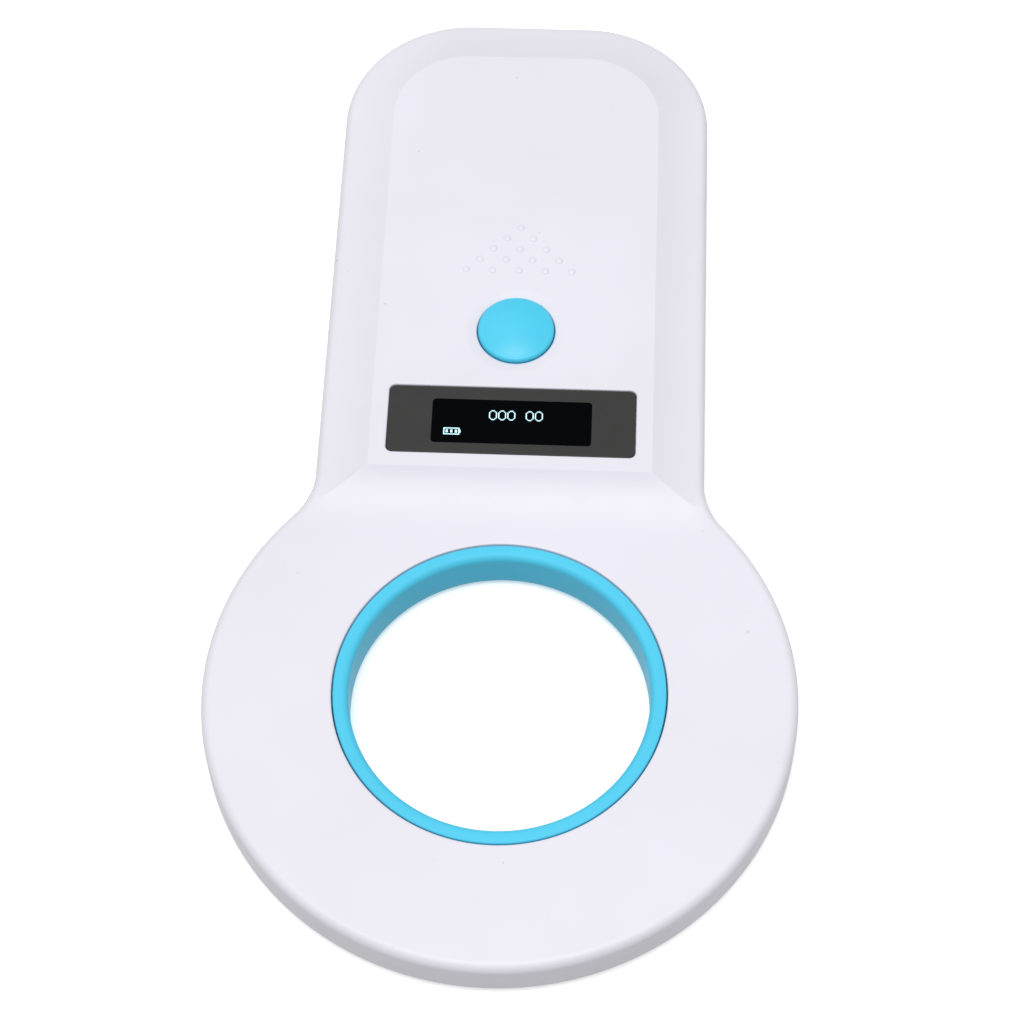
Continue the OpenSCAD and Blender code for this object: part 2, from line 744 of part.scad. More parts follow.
module battery_plug() {
    color([0.95, 0.94, 0.9]) translate([plug_x - plug_size[0] / 2, plug_y, board_top + plug_lift])
        cube(plug_size);
}

module battery_header() {
    color([0.9, 0.88, 0.82]) translate([plug_x - header_size[0] / 2, header_y, board_top]) cube(header_size);
}

module usb_socket() {
    inner = [usb_w - 2 * usb_wall, usb_l, usb_h - 2 * usb_wall];
    color(steel_colour) translate([-usb_w / 2, usb_mouth_y - usb_l, usb_z]) difference() {
        cube([usb_w, usb_l, usb_h]);
        translate([usb_wall, usb_back_t, usb_wall]) cube(inner);
    }
}

module usb_tongue() {
    front_gap = 0.6;
    size = [5.2, usb_l - usb_back_t - front_gap, 0.5];
    color([0.1, 0.1, 0.1])
        translate([-size[0] / 2, usb_mouth_y - usb_l + usb_back_t, usb_z + usb_h / 2]) cube(size);
}

module buzzer() {
    buzzer_x = 5.5;
    buzzer_gap = 1.5;
    hole_depth = 1;
    color(chip_colour) translate([buzzer_x, battery_y1 + buzzer_gap, board_top]) difference() {
        cube([buzzer_w, buzzer_w, buzzer_h]);
        translate([buzzer_w / 2, buzzer_w / 2, buzzer_h - hole_depth])
            cylinder(h = hole_depth + cut, d = buzzer_hole_d);
    }
}

// A chip in a flat case, with a row of legs along its two long sides or along all four.
module leaded_chip(at, size, legs, pitch, four_sides) {
    leg = [0.35, 1, 0.25];
    stand = 0.1;
    run = (legs - 1) * pitch / 2;
    translate([at[0], at[1], board_top]) {
        translate([-size[0] / 2, -size[1] / 2, stand]) cube(size);
        for (turn = four_sides ? [0, 90, 180, 270] : [90, 270]) rotate([0, 0, turn])
            for (i = [0:legs - 1])
                translate([i * pitch - run - leg[0] / 2, (turn % 180 == 0 ? size[1] : size[0]) / 2 - eps, 0])
                    cube(leg);
    }
}

module microcontroller() {
    color(chip_colour) leaded_chip([-chip_x, button_mid_y + 0.6], [7, 7, 1.4], 8, 0.8, true);
}

module reader_chip() {
    color(chip_colour) leaded_chip([chip_x, button_mid_y + 1], [3.9, 9.9, 1.5], 7, leg_pitch, false);
}

module memory_chip() {
    color(chip_colour) leaded_chip([chip_x, button_mid_y - 7], [3.9, 4.4, 1.5], 3, leg_pitch, false);
}

module charger_chip() {
    color(chip_colour) leaded_chip([0, battery_y1 + 5], [3.9, 4.9, 1.5], 4, leg_pitch, false);
}

module crystal() {
    color(steel_colour) translate([-chip_x, button_mid_y - 6.4, board_top])
        rounded_plate([7, 2.6, 1.6], 1.2);
}

module chip_row(x, y, count, pitch, size) {
    for (i = [0:count - 1]) translate([x + i * pitch - size[0] / 2, y - size[1] / 2, board_top]) cube(size);
}

module coil_capacitors() {
    from_edge = 2.2;
    pitch = 3.2;
    color([0.72, 0.58, 0.4]) for (x = [-8, 8])
        chip_row(x - pitch / 2, board_front_y + from_edge, 2, pitch, coil_capacitor);
}

module small_capacitors() {
    color([0.75, 0.62, 0.45]) {
        chip_row(-8, back_row_y, 3, small_pitch, small_capacitor);
        chip_row(-7, button_mid_y - 6, 2, small_pitch, small_capacitor);
    }
}

module small_resistors() {
    color([0.12, 0.12, 0.12]) {
        chip_row(4.8, back_row_y, 3, small_pitch, small_resistor);
        chip_row(5.4, button_mid_y - 6, 2, small_pitch, small_resistor);
        chip_row(-7, button_mid_y + 6, 2, small_pitch, small_resistor);
    }
}

module screw(d, head_d, head_t, length) {
    slot = [head_d * 0.7, head_d * 0.16, head_t];
    difference() {
        cylinder(h = head_t, d = head_d);
        for (turn = [0, 90]) rotate([0, 0, turn])
            translate([-slot[0] / 2, -slot[1] / 2, -head_t / 2]) cube(slot);
    }
    translate([0, 0, head_t - eps]) cylinder(h = length + eps, d = d);
}

module shell_screws() {
    color(steel_colour) for (p = concat(ring_screws, handle_screws)) translate([p[0], p[1], screw_recess])
        screw(screw_d, screw_head_d, screw_head_t, screw_tip_z - head_seat_z);
}

module board_screws() {
    grip = 2.5;
    color(steel_colour) for (p = board_screws_at) translate([p[0], p[1], board_z - board_screw_head_t])
        screw(board_screw_d, board_screw_head_d, board_screw_head_t, board_t + grip);
}

top_shell();
bottom_shell();
ring_liner();
antenna_coil();
coil_leads();
button_cap();
window_tape();
display_window();
display_glass();
display_foam();
display_holder();
display_ribbon();
ribbon_connector();
main_board();
switch_case();
switch_plunger();
battery();
battery_tape();
battery_wires();
battery_plug();
battery_header();
usb_socket();
usb_tongue();
buzzer();
microcontroller();
reader_chip();
memory_chip();
charger_chip();
crystal();
coil_capacitors();
small_capacitors();
small_resistors();
shell_screws();
board_screws();
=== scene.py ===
"""Handheld microchip reader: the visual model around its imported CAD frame, with its stage."""

import math

import bmesh
import bpy
from mathutils import Matrix, Vector


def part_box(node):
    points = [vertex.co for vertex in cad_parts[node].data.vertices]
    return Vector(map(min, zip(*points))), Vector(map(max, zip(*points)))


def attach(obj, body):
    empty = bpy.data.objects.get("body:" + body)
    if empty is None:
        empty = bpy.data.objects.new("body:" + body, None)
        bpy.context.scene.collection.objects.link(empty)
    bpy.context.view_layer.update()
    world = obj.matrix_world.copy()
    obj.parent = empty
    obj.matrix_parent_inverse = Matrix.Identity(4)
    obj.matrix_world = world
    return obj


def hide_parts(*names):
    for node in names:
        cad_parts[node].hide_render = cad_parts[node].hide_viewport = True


bl_info = {
    "name": "Microchip Scanner",
    "version": (1, 0, 0),
    "blender": (4, 5, 0),
    "location": "View3D > Sidebar > Scanner",
    "description": "Builds a handheld microchip scanner around its CAD frame",
    "category": "Add Mesh",
}

MM = 0.001
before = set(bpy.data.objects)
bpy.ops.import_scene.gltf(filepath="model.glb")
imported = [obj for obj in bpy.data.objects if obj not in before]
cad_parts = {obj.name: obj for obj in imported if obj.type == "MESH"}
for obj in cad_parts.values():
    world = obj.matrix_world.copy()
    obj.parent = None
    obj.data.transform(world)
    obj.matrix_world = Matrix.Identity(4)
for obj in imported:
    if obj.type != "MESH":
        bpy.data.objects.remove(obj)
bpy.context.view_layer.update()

BODY_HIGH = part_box("top_shell")[1]
LINER_LOW, LINER_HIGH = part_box("ring_liner")
CAP_LOW, CAP_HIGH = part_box("button_cap")
WINDOW_LOW, WINDOW_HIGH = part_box("display_window")
GLASS_LOW, GLASS_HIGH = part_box("display_glass")
SOCKET_LOW, SOCKET_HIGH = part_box("usb_socket")
BOARD_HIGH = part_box("main_board")[1]
SCREWS_LOW, SCREWS_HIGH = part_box("shell_screws")

RING_R = BODY_HIGH.x
END_Y = BODY_HIGH.y
RING_Y = (LINER_LOW.y + LINER_HIGH.y) / 2
RING_TOP = LINER_HIGH.z
CAP_Y = (CAP_LOW.y + CAP_HIGH.y) / 2
WINDOW_Y = (WINDOW_LOW.y + WINDOW_HIGH.y) / 2
WINDOW_SIZE = (WINDOW_HIGH.x - WINDOW_LOW.x, WINDOW_HIGH.y - WINDOW_LOW.y)
PICTURE_Y = (GLASS_LOW.y + GLASS_HIGH.y) / 2

# The charging socket's slot in the end wall: half its width, and its lower and upper edge.
SLOT_HALF = 4.05 * MM
SLOT_Z = (3.5 * MM, 6.6 * MM)
# The posts of the shell screws: outside radius, and the radius of the hole down their middle.
POST_R, PILOT_R = 2.5 * MM, 1.1 * MM
# Sides of a circle on the ring, of a small round post or screw, and steps of a rounded foot.
RING_SIDES, POST_SIDES, SCREW_SIDES, FOOT_STEPS = 160, 32, 40, 6
# Points closer than WELD are merged. TINY is a length that counts as nothing, NEAR is the most
# that two places may differ and count as one, and ALONG the same for a part of a direction.
WELD = 0.002 * MM
TINY, NEAR, ALONG = 1e-9, 1e-7, 1e-6
# How upright a face's normal is on a flat.
UPRIGHT = 0.9999


def length(name, default, description):
    """A length property; its default is given in millimetres."""
    return bpy.props.FloatProperty(
        name=name, description=description, default=default * MM, unit="LENGTH", precision=5)


def colour(name, default, description):
    """A colour property."""
    return bpy.props.FloatVectorProperty(
        name=name, description=description, default=default, subtype="COLOR", size=3, min=0, max=1)


class ShellSettings(bpy.types.PropertyGroup):
    handle_half: length("Handle half width", 29.5, "From the middle to the handle's side")
    corner_r: length("Corner radius", 20, "Radius of the handle's two end corners")
    neck_r: length("Neck radius", 9.5, "Hollow radius where the handle meets the ring")
    upper_edge_r: length("Upper edge radius", 1.4, "Rounding along the upper edge")
    lower_edge_r: length("Lower edge radius", 2, "Rounding along the lower edge")
    rim_rise: length("Rim rise", 0.7, "How far the handle's rim stands above the ring")
    panel_rise: length("Panel rise", 3, "How far the raised panel stands above the ring")
    panel_half: length("Panel half width", 21.5, "From the middle to the panel's side crease")
    panel_end: length("End slope width", 8.8, "From the handle's end to the panel's crease")
    panel_corner_r: length("Panel corner radius", 12, "Radius of the panel's two end corners")
    crease_from_ring: length("Front crease", 36, "From the ring's centre to the front crease")
    slope_r: length("Front slope radius", 16.6, "Hollow radius of the slope down to the ring")
    crease_round: length("Crease rounding", 0.45, "How far the creases are rounded")
    roof: length("Roof thickness", 1.6, "Thickness of the upper shell's roof")
    floor: length("Floor thickness", 1.6, "Thickness of the lower shell's floor")
    wall: length("Wall thickness", 1.8, "Thickness of the side wall")
    seam_z: length("Seam height", 0.8, "Height of the seam between the shells")
    seam_gap: length("Seam gap", 0.1, "Gap between the shells at the seam")
    liner_hole_r: length("Liner hole radius", 24.5, "Radius of the hole for the ring liner")
    collar_r: length("Collar radius", 26.1, "Outside radius of the collar round the liner")
    dish_r: length("Dish radius", 8, "Radius of the shallow dish round the button")
    dish_depth: length("Dish depth", 0.3, "Depth of the dish at the button's hole")
    button_hole_r: length("Button hole radius", 6.1, "Radius of the button's hole")
    finish: colour("Shell colour", (0.745, 0.73, 0.80), "Colour of the moulded shells")


class DotSettings(bpy.types.PropertyGroup):
    rows: bpy.props.IntProperty(name="Rows", description="Rows in the triangle", default=5, min=1)
    pitch: length("Pitch", 4.15, "Distance between the dots in a row")
    row_pitch: length("Row pitch", 2.07, "Distance between two rows")
    base_from_ring: length("Base row", 72.4, "From the ring's centre to the longest row")
    radius: length("Dot radius", 0.65, "Radius of a dot")
    rise: length("Dot height", 0.22, "Height of a dot")


class LinerSettings(bpy.types.PropertyGroup):
    bore_r: length("Bore radius", 22, "Radius of the hole through the ring")
    outer_r: length("Outer radius", 24.3, "Outside radius of the liner")
    top_round: length("Upper rounding", 1.1, "Rounding of the bore's upper edge")
    bottom_round: length("Lower rounding", 1.8, "Rounding of the bore's lower edge")
    flange_low: length("Flange underside", 3.3, "Height of the flange's underside")
    flange_high: length("Flange top", 4.7, "Height of the flange's top")
    finish: colour("Liner colour", (0.088, 0.58, 0.815), "Colour of the ring liner")


class ButtonSettings(bpy.types.PropertyGroup):
    radius: length("Button radius", 5.9, "Radius of the button")
    edge_rise: length("Edge rise", 0.2, "How far the button's edge stands above the panel")
    edge_round: length("Edge rounding", 0.45, "Rounding round the button's edge")
    flange: length("Flange width", 1, "How far the flange stands out under the roof")
    flange_t: length("Flange thickness", 0.8, "Thickness of the flange")
    wall: length("Button wall", 1.2, "Thickness of the button's wall and top")
    stem_r: length("Stem radius", 1.6, "Radius of the stem that presses the switch")
    finish: colour("Button colour", (0.066, 0.568, 0.80), "Colour of the button")


class WindowSettings(bpy.types.PropertyGroup):
    corner_r: length("Corner radius", 1, "Radius of the window's corners")
    ledge: length("Ledge width", 1.8, "Width of the ledge under the window")
    opening_w: length("Opening width", 24.4, "Width of the clear opening")
    opening_h: length("Opening height", 7.87, "Height of the clear opening")
    opening_r: length("Opening corner radius", 0.6, "Radius of the opening's corners")
    opening_y: length("Opening shift", -0.6, "From the display's middle to the opening's middle")
    opening_d: length("Opening depth", 0.08, "Depth of the opening in the printed border")
    dot_pitch: length("Dot pitch", 0.175, "Distance between the display's dots")
    dot_size: length("Dot size", 0.168, "Width of one lit dot")
    mask: colour("Mask colour", (0.043, 0.0425, 0.042), "Colour of the printed border")
    glow: colour("Glow colour", (0.58, 0.93, 1.0), "Colour of the lit dots")


class StageSettings(bpy.types.PropertyGroup):
    camera_at: bpy.props.FloatVectorProperty(
        name="Camera place", description="Where the camera stands", unit="LENGTH",
        default=(13.82 * MM, -234.5 * MM, 387.52 * MM))
    camera_turn: bpy.props.FloatVectorProperty(
        name="Camera turn", description="The camera's rotation", subtype="EULER", unit="ROTATION",
        default=(math.radians(30.626), math.radians(0.612), math.radians(2.336)))
    lens: bpy.props.FloatProperty(
        name="Lens", description="Focal length in millimetres, for a 36 mm sensor", default=102.98)
    floor_half: length("Floor half width", 3000, "From the middle to the floor's edge")


# Outline and section helpers. An outline is a list of (point, outward direction) pairs.


def show(name, data):
    """Puts a mesh, a light or the camera into the scene."""
    shown = bpy.data.objects.new(name, data)
    bpy.context.scene.collection.objects.link(shown)
    return shown


def arc(cx, cy, r, start, end, steps):
    """Points on an arc with their outward directions; angles are in degrees."""
    found = []
    for i in range(steps + 1):
        a = math.radians(start + (end - start) * i / steps)
        out = Vector((math.cos(a), math.sin(a)))
        found.append((Vector((cx, cy)) + out * r, out))
    return found


def body_outline(shell):
    """The body seen from above, from its near point up the right side and down the left."""
    half, r = shell.handle_half, shell.corner_r
    neck_x = half + shell.neck_r
    neck_dy = math.sqrt((RING_R + shell.neck_r) ** 2 - neck_x ** 2)
    neck_y = RING_Y + neck_dy
    turn = math.degrees(math.atan2(neck_dy, neck_x))
    ring = arc(0, RING_Y, RING_R, -90, turn, 110)
    neck = [(p, -out) for p, out in arc(neck_x, neck_y, shell.neck_r, 180 + turn, 180, 22)]
    crease_y = RING_Y + shell.crease_from_ring
    side_end = END_Y - r
    side_steps = 26
    side = [(Vector((half, crease_y + (side_end - crease_y) * i / side_steps)), Vector((1, 0)))
            for i in range(side_steps)]
    corner = arc(half - r, side_end, r, 0, 90, 28)
    end = [(Vector((SLOT_HALF * k / 3, END_Y)), Vector((0, 1))) for k in (6, 5, 4, 3, 2, 1, 0)]
    right = ring[:-1] + neck + side + corner + end
    left = [(Vector((-p.x, p.y)), Vector((-out.x, out.y))) for p, out in reversed(right[1:-1])]
    return right + left


def rounded_rectangle(cx, cy, w, h, r, steps=6):
    """Points round a rectangle with round corners."""
    points = []
    for sx, sy, start in ((1, 1, 0), (-1, 1, 90), (-1, -1, 180), (1, -1, 270)):
        points += [p for p, _ in arc(cx + sx * (w / 2 - r), cy + sy * (h / 2 - r), r,
                                     start, start + 90, steps)]
    return points


def circle(cx, cy, r, steps=96):
    """Points round a circle."""
    return [p for p, _ in arc(cx, cy, r, 0, 360, steps)][:-1]


def row_of(bm, points, closed=True):
    """Vertices and edges along a list of points; returns both."""
    verts = [bm.verts.new(p) for p in points]
    following = verts[1:] + verts[:1] if closed else verts[1:]
    return verts, [bm.edges.new(pair) for pair in zip(verts, following)]


def loft(bm, rows, closed=True):
    """Skins a list of rows, each a list of points, by extruding every row to the next."""
    verts, edges = row_of(bm, rows[0], closed)
    for row in rows[1:]:
        made = bmesh.ops.extrude_edge_only(bm, edges=edges)["geom"]
        fresh = {g for g in made if isinstance(g, bmesh.types.BMVert)}
        verts = [next(v for v in (e.other_vert(old) for e in old.link_edges) if v in fresh)
                 for old in verts]
        for vert, point in zip(verts, row):
            vert.co = point
        edges = [g for g in made if isinstance(g, bmesh.types.BMEdge)
                 and all(v in fresh for v in g.verts)]


def plate(cy, w, h, r, grow, z):
    """Points at height z round a rectangle with round corners, grown by a margin."""
    return flat(rounded_rectangle(0, cy, w + 2 * grow, h + 2 * grow, r + grow), z)


def flat(points, z):
    """The same points at one height."""
    return [Vector((p.x, p.y, z)) for p in points]


def offset(outline, inset):
    """An outline's points, moved inwards."""
    return [p - out * inset for p, out in outline]


def fill(bm, *rows):
    """Fills the flat region inside the first row and outside the others."""
    edges = [e for row in rows for e in row_of(bm, row)[1]]
    bmesh.ops.triangle_fill(bm, use_beauty=True, edges=edges, normal=(0, 0, 1))


def weld(bm):
    """Merges the points that meet."""
    bmesh.ops.remove_doubles(bm, verts=bm.verts[:], dist=WELD)


def support(bm, z, width):
    """Sets a narrow band inside every flat region at height z, so that the flat shades flat."""
    faces = [f for f in bm.faces if abs(f.normal.z) > UPRIGHT
             and all(abs(v.co.z - z) < NEAR for v in f.verts)]
    bmesh.ops.inset_region(bm, faces=faces, thickness=width, use_even_offset=True,
                           use_boundary=True)


def lathe(bm, profile, cx, cy, steps=192):
    """Turns a profile of (radius, height) points about the vertical line through (cx, cy)."""
    on_axis = abs(profile[0][0]) < TINY and abs(profile[-1][0]) < TINY
    verts, edges = row_of(bm, [Vector((cx + r, cy, z)) for r, z in profile], closed=not on_axis)
    bmesh.ops.spin(bm, geom=verts + edges, cent=(cx, cy, 0), axis=(0, 0, 1), angle=2 * math.pi,
                   steps=steps, use_merge=True, use_duplicate=False)


def round_corner(cx, cz, r, start, end, steps):
    """Points on a section's rounded corner, as (radius, height)."""
    return [(p.x, p.y) for p, _ in arc(cx, cz, r, start, end, steps)]


def finish_piece(bm, name, materials, slot, body, *nodes, sharp=40):
    """Closes, faces outwards, shades and places a piece, and hides the CAD nodes that it stands
    for.
    """
    weld(bm)
    bmesh.ops.dissolve_degenerate(bm, dist=WELD / 4, edges=bm.edges[:])
    bmesh.ops.recalc_face_normals(bm, faces=bm.faces[:])
    if bm.calc_volume(signed=True) < 0:
        bmesh.ops.reverse_faces(bm, faces=bm.faces[:])
    mesh = bpy.data.meshes.new(name)
    bm.to_mesh(mesh)
    bm.free()
    mesh.shade_smooth()
    mesh.set_sharp_from_angle(angle=math.radians(sharp))
    piece = show(name, mesh)
    for material in materials:
        mesh.materials.append(material)
    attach(piece, body)
    if nodes:
        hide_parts(*nodes)
    return piece


# Materials. Every pattern reads object coordinates, so its scale is in cycles per metre. A base is
# a colour, and stops are (place on the ramp, colour).


def preset(node, values):
    """Sets a node's own inputs."""
    for name, value in values.items():
        node.inputs[name].default_value = value


class Nodes:
    """A short way to build one material's nodes."""

    def __init__(self, name, roughness=0.5, metallic=0.0, coat=0.0, level=0.5):
        self.material = bpy.data.materials.new(name)
        self.material.use_nodes = True
        self.tree = self.material.node_tree
        self.shader = self.tree.nodes["Principled BSDF"]
        preset(self.shader, {"Roughness": roughness, "Metallic": metallic, "Coat Weight": coat,
                             "Specular IOR Level": level})
        self.place = self.add("ShaderNodeTexCoord").outputs["Object"]

    def add(self, kind, **values):
        node = self.tree.nodes.new(kind)
        for key, value in values.items():
            setattr(node, key, value)
        return node

    def link(self, output, target):
        self.tree.links.new(output, target)

    def texture(self, kind, scale, **values):
        node = self.add(kind, **values)
        self.link(self.place, node.inputs["Vector"])
        preset(node, {"Scale": scale})
        return node

    def noise(self, scale, detail=3.0, rough=0.55):
        node = self.texture("ShaderNodeTexNoise", scale)
        preset(node, {"Detail": detail, "Roughness": rough})
        return node.outputs["Fac"]

    def waves(self, scale, direction, distortion):
        node = self.texture("ShaderNodeTexWave", scale, wave_type="BANDS",
                            bands_direction=direction)
        preset(node, {"Distortion": distortion})
        return node.outputs["Fac"]

    def cells(self, scale, distance):
        node = self.texture("ShaderNodeTexVoronoi", scale, distance=distance)
        return node.outputs["Distance"]

    def ramp(self, factor, stops):
        node = self.add("ShaderNodeValToRGB")
        self.link(factor, node.inputs["Fac"])
        band = node.color_ramp
        while len(band.elements) < len(stops):
            band.elements.new(0.5)
        for element, (at, value) in zip(band.elements, stops):
            element.position = at
            element.color = (*value, 1)
        return node.outputs["Color"]

    def blend(self, way, factor, first, second):
        """Mixes two colours; the colour sockets of a Mix node share their names with others."""
        node = self.add("ShaderNodeMix", data_type="RGBA", blend_type=way)
        preset(node, {"Factor": factor})
        colour_a, colour_b, colour_out = 6, 7, 2
        self.link(first, node.inputs[colour_a])
        self.link(second, node.inputs[colour_b])
        return node.outputs[colour_out]

    def colour(self, output):
        self.link(output, self.shader.inputs["Base Color"])

    def roughness(self, factor, low, high):
        node = self.add("ShaderNodeMapRange")
        self.link(factor, node.inputs["Value"])
        preset(node, {"To Min": low, "To Max": high})
        self.link(node.outputs["Result"], self.shader.inputs["Roughness"])

    def bump(self, height, depth, strength):
        node = self.add("ShaderNodeBump")
        preset(node, {"Distance": depth, "Strength": strength})
        self.link(height, node.inputs["Height"])
        self.link(node.outputs["Normal"], self.shader.inputs["Normal"])


def shade(base, factor):
    """A colour made lighter or darker."""
    return tuple(min(1.0, c * factor) for c in base)


def grey(value):
    return (value, value, value)


def moulded(name, base, rough=0.45, grain=2600, depth=0.004, vary=0.02, flecks=False, level=0.4):
    """Moulded plastic: faint clouding, fine sparkle texture and uneven gloss."""
    n = Nodes(name, level=level)
    tint = n.ramp(n.noise(38, 2), [(0.3, shade(base, 1 - vary)), (0.7, shade(base, 1 + vary))])
    if flecks:
        speck = n.ramp(n.noise(900, 1, 0.4), [(0.17, (0.55, 0.52, 0.5)), (0.2, grey(1))])
        tint = n.blend("MULTIPLY", 0.36, tint, speck)
    n.colour(tint)
    n.roughness(n.noise(160, 4), rough - 0.05, rough + 0.07)
    n.bump(n.noise(grain, 2, 0.5), depth * MM, 0.5)
    return n.material


def cyan_plastic(name, base, rough, level):
    """The smoother plastic of the coloured pieces."""
    return moulded(name, base, rough, grain=2200, depth=0.003, vary=0.03, level=level)


def metal(name, base, rough, brush=1800):
    """Plated or brushed metal with fine lines and a few duller patches."""
    n = Nodes(name, metallic=1.0)
    lines = n.waves(brush, "X", 6.0)
    n.colour(n.ramp(lines, [(0, shade(base, 0.86)), (1, base)]))
    n.roughness(n.noise(420, 5), rough - 0.08, rough + 0.14)
    n.bump(lines, 0.004 * MM, 0.4)
    return n.material


def winding(name, base):
    """A lacquered winding: close turns one above the other."""
    n = Nodes(name, roughness=0.28, metallic=0.9, coat=0.4)
    turns = n.waves(560, "Z", 0.6)
    n.colour(n.ramp(turns, [(0, shade(base, 0.35)), (0.5, base), (1, shade(base, 1.25))]))
    n.bump(turns, 0.12 * MM, 0.8)
    return n.material


def circuit_board(name, base):
    """Green solder mask over faint copper tracks, with a glassy coat."""
    n = Nodes(name, coat=0.6)
    tracks = n.cells(420, "MANHATTAN")
    n.colour(n.ramp(tracks, [(0.2, shade(base, 1.5)), (0.32, base), (0.6, shade(base, 0.8))]))
    n.roughness(n.noise(700), 0.28, 0.42)
    n.bump(tracks, 0.02 * MM, 0.5)
    return n.material


def foil(name, base):
    """A pouch battery's matt foil, softly crinkled."""
    n = Nodes(name, metallic=0.85)
    crinkle = n.noise(240, 5, 0.65)
    n.colour(n.ramp(crinkle, [(0.25, shade(base, 0.82)), (0.75, base)]))
    n.roughness(n.noise(90), 0.32, 0.5)
    n.bump(crinkle, 0.15 * MM, 0.7)
    return n.material


def film(name, base, rough, band=900):
    """Thin film or tape with fine cross lines."""
    n = Nodes(name, coat=0.2)
    lines = n.waves(band, "Y", 1.5)
    n.colour(n.ramp(lines, [(0, shade(base, 0.8)), (1, shade(base, 1.08))]))
    n.roughness(n.noise(500), rough - 0.08, rough + 0.08)
    n.bump(lines, 0.01 * MM, 0.4)
    return n.material


def sponge(name, base):
    """Open foam: pits of several sizes."""
    n = Nodes(name, roughness=0.9)
    pits = n.cells(2600, "EUCLIDEAN")
    n.colour(n.ramp(pits, [(0.1, shade(base, 0.4)), (0.5, base)]))
    n.bump(pits, 0.15 * MM, 0.9)
    return n.material


def dark_glass(name, base, rough=0.05, level=0.1, dust=False):
    """Near-black coated glass with a trace of haze, and dust where it is handled."""
    n = Nodes(name, level=level)
    tint = n.ramp(n.noise(170, 2), [(0.3, shade(base, 0.95)), (0.7, shade(base, 1.05))])
    if dust:
        grit = n.ramp(n.noise(1100, 1, 0.4), [(0.81, grey(0)), (0.84, grey(0.3))])
        tint = n.blend("ADD", 0.6, tint, grit)
    n.colour(tint)
    n.roughness(n.noise(1300, 4), rough, rough + 0.06)
    n.bump(n.noise(60, 1), 0.004 * MM, 0.2)
    return n.material


def glowing(name, base, strength):
    """Lit display dots, a little uneven."""
    n = Nodes(name, roughness=0.4)
    uneven = n.noise(900, 2)
    n.colour(n.ramp(uneven, [(0, grey(0.02)), (1, grey(0.03))]))
    n.link(n.ramp(uneven, [(0.3, shade(base, 0.86)), (0.7, base)]),
           n.shader.inputs["Emission Color"])
    preset(n.shader, {"Emission Strength": strength})
    return n.material


# Shapes of the two shells.


